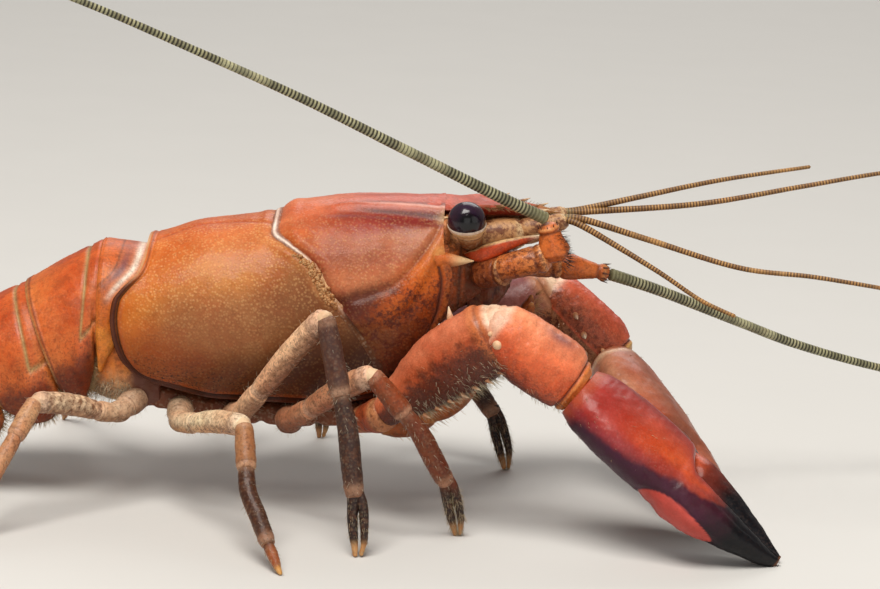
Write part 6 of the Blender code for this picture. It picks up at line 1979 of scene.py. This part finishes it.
def makeLeg(number, label, sign, look):
    hipX, thigh, knee, wrist, ankle, foot, pincer, stride, size = legTable[number]
    stride = stride if label == "L" else 0.0
    colours = {**legPaint[number], **(farLegShade if number == 2 and label == "L" else {})}
    hip = np.array((hipX, sign * 6.1, float(curve(lowerLine, hipX)) - 2.2))
    thigh, knee, wrist, ankle, foot = (
        np.array((p[0] + stride * share, sign * p[1], p[2]))
        for p, share in ((thigh, 0), (knee, 0.35), (wrist, 0.7), (ankle, 0.95), (foot, 1.0)))
    forward = (1.0, 0, 0)

    def segment(points, radii, rows, around, capStart, capEnd, up=(0, 0, 1)):
        sized = [(at, *(r * size for r in widths)) for at, *widths in radii]
        return tube(points, sized, rows, around, up, capStart, capEnd)

    coxa = segment([hip, hip + (thigh - hip) * 0.35, hip + (thigh - hip) * 0.62],
                   ((0, 1.4), (0.5, 1.5), (1, 1.25)), 26, 40, 0.15, 0.3)
    coxa.points[..., 1] = sign * np.maximum(np.abs(coxa.points[..., 1]), 6.08)
    basis = segment([hip + (thigh - hip) * 0.5, hip + (thigh - hip) * 0.85, thigh + (knee - thigh) * 0.08],
                    ((0, 1.0), (0.5, 1.28), (1, 1.0)), 26, 40, 0.3, 0.4)
    ischium = segment([thigh, thigh + (knee - thigh) * 0.12, thigh + (knee - thigh) * 0.25],
                      ((0, 0.9), (0.3, 1.1), (0.8, 1.16), (1, 0.98)), 26, 40, 0.3, 0.3)
    middle = thigh + (knee - thigh) * 0.6 + np.array([0, 0, 0.25])
    merus = segment([thigh + (knee - thigh) * 0.24, middle, thigh + (knee - thigh) * 0.97],
                    ((0, 1.0, 1.0), (0.12, 1.08, 1.14), (0.5, 1.14, 1.26), (0.88, 1.12, 1.24),
                     (1, 1.02, 1.1)), 60, 48, 0.3, 0.55)
    for k, (g, shade) in enumerate(((coxa, 0.5), (basis, 0.65), (ischium, 0.9))):
        main = colours["thigh"] * shade + look["root"] * (1 - shade)
        paintLeg(g, main, colours["lower"] * shade, main * 1.15, 200 + number * 10 + k, 0.6, 0.35)
    paintLeg(merus, colours["thigh"], colours["lower"], look["thighEnd"], 205 + number * 10, 0.75, 0.45)
    patches = (ease(-0.1, 0.4, merus.normals[..., 0])
               * ease(-0.45, 0.15, waves(merus.points, 0.9, 207 + number)))
    patches = patches * ease(1.0, 0.9, merus.along)      # ragged dark patches along the front
    merus.paint = blendTo(merus.paint, look["patches"], (0.8 if number < 4 else 0.45) * patches)
    merus.detail[..., 0] = np.maximum(merus.detail[..., 0], 0.8 * patches)

    carpus = segment([knee + (wrist - knee) * 0.04, knee + (wrist - knee) * 0.4,
                      wrist + (knee - wrist) * 0.3],
                     ((0, 0.95), (0.3, 1.06), (0.85, 1.1), (1, 0.98)), 34, 44, 0.5, 0.25, forward)
    swell = 1.14 if pincer else 1.0
    propodus = tube([wrist + (knee - wrist) * 0.33, wrist, wrist + (ankle - wrist) * 0.5, ankle],
                    ((0, 0.84 * size), (0.12, 0.9 * size), (0.5, 0.94 * size * swell),
                     (0.88, 0.9 * size * swell), (1, 0.76 * size * swell)), 60, 44, forward, 0.3, 0.4)
    paintLeg(carpus, colours["carpus"], colours["lower"], look["carpusEnd"], 210 + number * 10, 0.6, 0.4)
    paintLeg(propodus, colours["shank"], colours["lower"], look["shankEnd"], 212 + number * 10, 0.6, 0.45)
    down = unit(foot - ankle)
    if pincer:
        apart = (np.array(Vector(knee - ankle).cross(Vector((0, 0, 1))).normalized()) * 0.1
                 + np.array([1.0, 0, 0]))
        fixed = tube([ankle - down * 0.9, ankle + down * 1.6 - apart * 0.2, foot + np.array([0, 0, 0.25])],
                     ((0, 0.8 * size), (0.3, 0.62), (0.75, 0.46), (1, 0.27)), 44, 32, forward, 0.3, 0.8)
        tip = ankle + (foot - ankle) * 0.95 + apart * 0.6
        tip[2] = max(tip[2], 0.32)
        moving = tube([ankle - down * 0.8 + apart * 0.45, ankle + (foot - ankle) * 0.35 + apart * 0.92,
                       ankle + (foot - ankle) * 0.75 + apart * 0.9, tip],
                      ((0, 0.42), (0.2, 0.56), (0.7, 0.42), (1, 0.2)), 44, 32, forward, 0.3, 0.8)
        fingers = [fixed, moving]
    else:
        middle = ankle + (foot - ankle) * 0.5 + np.array([0, 0, 0.12])
        fingers = [tube([ankle - down * 0.2, middle, foot + np.array([0, 0, 0.2])],
                        ((0, 0.56 * size), (0.25, 0.62 * size), (0.7, 0.46), (1, 0.22)), 44, 32,
                        forward, 0.4, 1.0)]
    tuftCount, tuftLength = (260, 0.7) if number == 2 else (110, 0.55)
    for k, g in enumerate(fingers):
        g.paint = blendTo(g.coloured(colours["shank"]), colours["foot"], ease(0.05, 0.35, g.along))
        g.paint = blendTo(g.paint, colours["tip"], ease(0.74, 0.92, g.along))
        g.marks(0.3, 0.35).push(0.03 * waves(g.points, 1.0, 214 + k))
        onFloor(g)
        tufts = ease(0.1, 0.4, g.along) * (1 - 0.5 * ease(0.9, 1, g.along))
        hairsOnGrid("setaeLegs", g, tufts, tuftCount, (tuftLength, look["bristleRadius"], look["tuft"]), 1.1,
                    700 + number * 10 + k + int(sign), legSlot(number, sign, 3), 0.7)
    kneePad = (knee - unit(knee - thigh) * 0.5, knee + unit(wrist - knee) * 0.5, 0.92)
    wristPad = (wrist + (knee - wrist) * 0.42, wrist + (knee - wrist) * 0.22, 0.74)
    anklePad = (ankle - down * 0.5, ankle + down * 0.3, 0.55)
    pads = []
    for a, b, r in (kneePad, wristPad, anklePad):     # soft skin in the joints
        pad = tube([a, (a + b) / 2, b], ((0, r * size), (1, r * size)), 14, 30,
                   forward, 0.4, 0.4).marks(speckle=0.3)
        pad.paint[:] = look["pad"]
        pads.append(pad)
    makePiece(f"leg{number}{label}",
              [coxa, basis, ischium, merus, carpus, propodus, *fingers, *pads], legMaterial,
              (f"leg_{number}_{label}_thigh", f"leg_{number}_{label}_shin"))
    for k, (g, (count, length)) in enumerate(zip((merus, carpus, propodus, coxa, ischium), look["bristles"])):
        even = np.ones(g.along.shape) * (0.4 + 0.6 * ease(0.2, -0.6, g.normals[..., 2]))
        hairsOnGrid("setaeLegs", g, even, count, (length, look["bristleRadius"], look["bristle"]), 0.8,
                    760 + number * 10 + k + int(sign), legSlot(number, sign, k % 3), 0.9)


def legSlot(number, sign, k):
    u = 0.5 * (sign > 0) + 0.02
    v = 0.02 + 0.24 * (number - 2) + 0.058 * k
    return (u, u + 0.46, v, v + 0.05)


for label, sign in sides.items():
    for number in legTable:
        makeLeg(number, label, sign, legLook)
print("stage 8: legs")


# Bristles of the head, then all the coat pieces

headBristleLook = {  # how many on each side, radius and colour
    "rostrum": (150, 0.026, rgb(176, 140, 92)), "scale": (170, 0.024, rgb(188, 158, 112)),
    "mouth": (420, 0.026, rgb(206, 150, 88)), "feelerRoot": (240, 0.028, rgb(62, 36, 24)),
    "mouthPath": ((26.9, 2.6, 8.9), (29.5, 2.7, 9.0), (34.0, 2.8, 12.0), (38.4, 2.8, 17.2), (41.2, 2.5, 20.4),
                  (42.6, 2.0, 23.4)),
}


def headBristles(look):
    draw = np.random.RandomState(77)
    for sign in sides.values():
        count, radius, colour = look["rostrum"]
        for _ in range(count):     # along the edges of the rostrum
            x = draw.uniform(35.5, 44.8)
            half, top = (float(v) for v in columns(rostrumLook["rows"], (1, 3), x))
            out = np.array([0.55, sign * 0.6, draw.uniform(-0.4, 0.7)])
            addHairs("setaeHead", np.array([x, sign * half * 0.97, top - 0.25]), out,
                     draw.uniform(0.5, 1.0), radius, colour,
                     (0.1 + 0.8 * (x - 35) / 10, 0.05 + 0.1 * (sign > 0)))
        count, radius, colour = look["scale"]
        for _ in range(count):     # inner edge of the antennal scale
            x = draw.uniform(37.6, 42.8)
            out = np.array([0.75, -sign * 0.5, draw.uniform(-0.1, 0.4)])
            root = np.array([x, sign * 4.5, 29.9 + (x - 37.4) * 0.33])
            addHairs("setaeHead", root, out, draw.uniform(0.7, 1.2), radius, colour,
                     (0.1 + 0.8 * (x - 37) / 6, 0.25 + 0.1 * (sign > 0)))
        count, radius, colour = look["mouth"]
        path = np.array(look["mouthPath"])
        for _ in range(count):
            t = draw.uniform(0, 1)
            at = t * (len(path) - 1)
            i = min(int(at), len(path) - 2)
            p = path[i] + (path[i + 1] - path[i]) * (at - i)
            turn = draw.uniform(0, 2 * math.pi)
            out = unit(np.array([0.2 + 0.6 * t, math.cos(turn), math.sin(turn) * 0.8]))
            root = p * (1, sign, 1) + out * (0.9 + 0.5 * math.sin(math.pi * t))
            addHairs("setaeHead", root, out + np.array([0.5, 0, 0.2]), draw.uniform(0.7, 1.4), radius, colour,
                     (0.05 + 0.9 * t, 0.5 + 0.2 * (sign > 0) + 0.15 * turn / 6.3))


def antennaBristles(look):
    # dark bristles on the front of the near feeler's last root segment
    draw = np.random.RandomState(88)
    start, end = (np.array(p) for p in peduncles["R"][2][:2])
    count, radius, colour = look["feelerRoot"]
    for k in range(count):
        share = draw.uniform(-0.15, 0.75)
        out = unit(np.array([0.9, -0.35, -0.15]) + draw.normal(size=3) * 0.42)
        place = start + (end - start) * share + out * (1.45 - 0.35 * share)
        addHairs("setaeHead", place, out + np.array([0.5, 0.0, -0.1]), draw.uniform(0.5, 1.0), radius, colour,
                 (0.05 + 0.9 * max(share, 0.0), 0.9 + 0.04 * k / count))


antennaBristles(headBristleLook)
headBristles(headBristleLook)
for k, name in enumerate(hairRoots):
    growHairs(name, 900 + k, bristleShape)
print("stage 9: bristles", {name: sum(len(p[0]) for p in parts) for name, parts in hairRoots.items()})


# Floor, light and camera

floorLook = {"size": 4.0, "colour": (0.62, 0.608, 0.585), "grainScale": 60.0, "darkest": 0.97,
             "roughness": 0.75}


def makeFloor(look):
    size = look["size"]
    mesh = bpy.data.meshes.new("floor")
    mesh.from_pydata([(-size, -size, 0), (size, -size, 0), (size, size, 0), (-size, size, 0)], [],
                     [(0, 1, 2, 3)])
    floor = addObject("floor", mesh, paperMaterial("floor_paper", look))


makeFloor(floorLook)

lightLook = {  # place, width, watts, colour, each aimed at the middle of the animal
    "key": ((-0.10, -0.24, 0.58), 0.34, 4.6, (1.0, 0.965, 0.91)),
    "fill": ((0.55, -0.45, 0.22), 0.5, 0.6, (1.0, 0.97, 0.93)),
    "back": ((0.1, 0.7, 0.6), 0.6, 2.6, (1.0, 0.98, 0.95)),
    "front": ((0.02, -0.62, 0.14), 0.4, 0.45, (1.0, 0.98, 0.95)),
}
roomLook = {"colour": (1.0, 0.965, 0.92, 1.0), "strength": 0.22, "aim": (0, 0, 0.02)}


def addLights(look):
    for name, (place, size, watts, colour) in look.items():
        data = bpy.data.lights.new(name, "AREA")
        data.energy = watts
        data.size = size
        data.color = colour
        lamp = bpy.data.objects.new(name, data)
        lamp.location = place
        lamp.rotation_euler = (Vector(roomLook["aim"]) - Vector(place)).to_track_quat("-Z", "Y").to_euler()
        bpy.context.scene.collection.objects.link(lamp)
    world = bpy.data.worlds.new("soft_room")
    world.use_nodes = True
    glow = world.node_tree.nodes["Background"]
    glow.inputs["Color"].default_value = roomLook["colour"]
    glow.inputs["Strength"].default_value = roomLook["strength"]
    bpy.context.scene.world = world


addLights(lightLook)

cameraLook = {"target": (32.41, 0.0, 23.5), "elevation": 12.0, "roll": 3.0, "distance": 0.4, "lens": 147.4}


def addCamera(look):
    target = Vector((np.array(look["target"]) + shift) * mm)
    rise = math.radians(look["elevation"])
    place = target + look["distance"] * Vector((0, -math.cos(rise), math.sin(rise)))
    forward = (target - place).normalized()
    right = Vector((1, 0, 0))
    up = right.cross(forward)
    turn = Matrix.Rotation(math.radians(look["roll"]), 3, -forward)
    right, up = turn @ right, turn @ up
    matrix = Matrix((right, up, -forward)).transposed().to_4x4()
    matrix.translation = place
    data = bpy.data.cameras.new("camera")
    data.sensor_width = 36.0
    data.lens = look["lens"]
    data.clip_start = 0.001
    camera = bpy.data.objects.new("camera", data)
    camera.matrix_world = matrix
    bpy.context.scene.collection.objects.link(camera)
    bpy.context.scene.camera = camera


addCamera(cameraLook)
bpy.context.scene.view_settings.view_transform = "Standard"
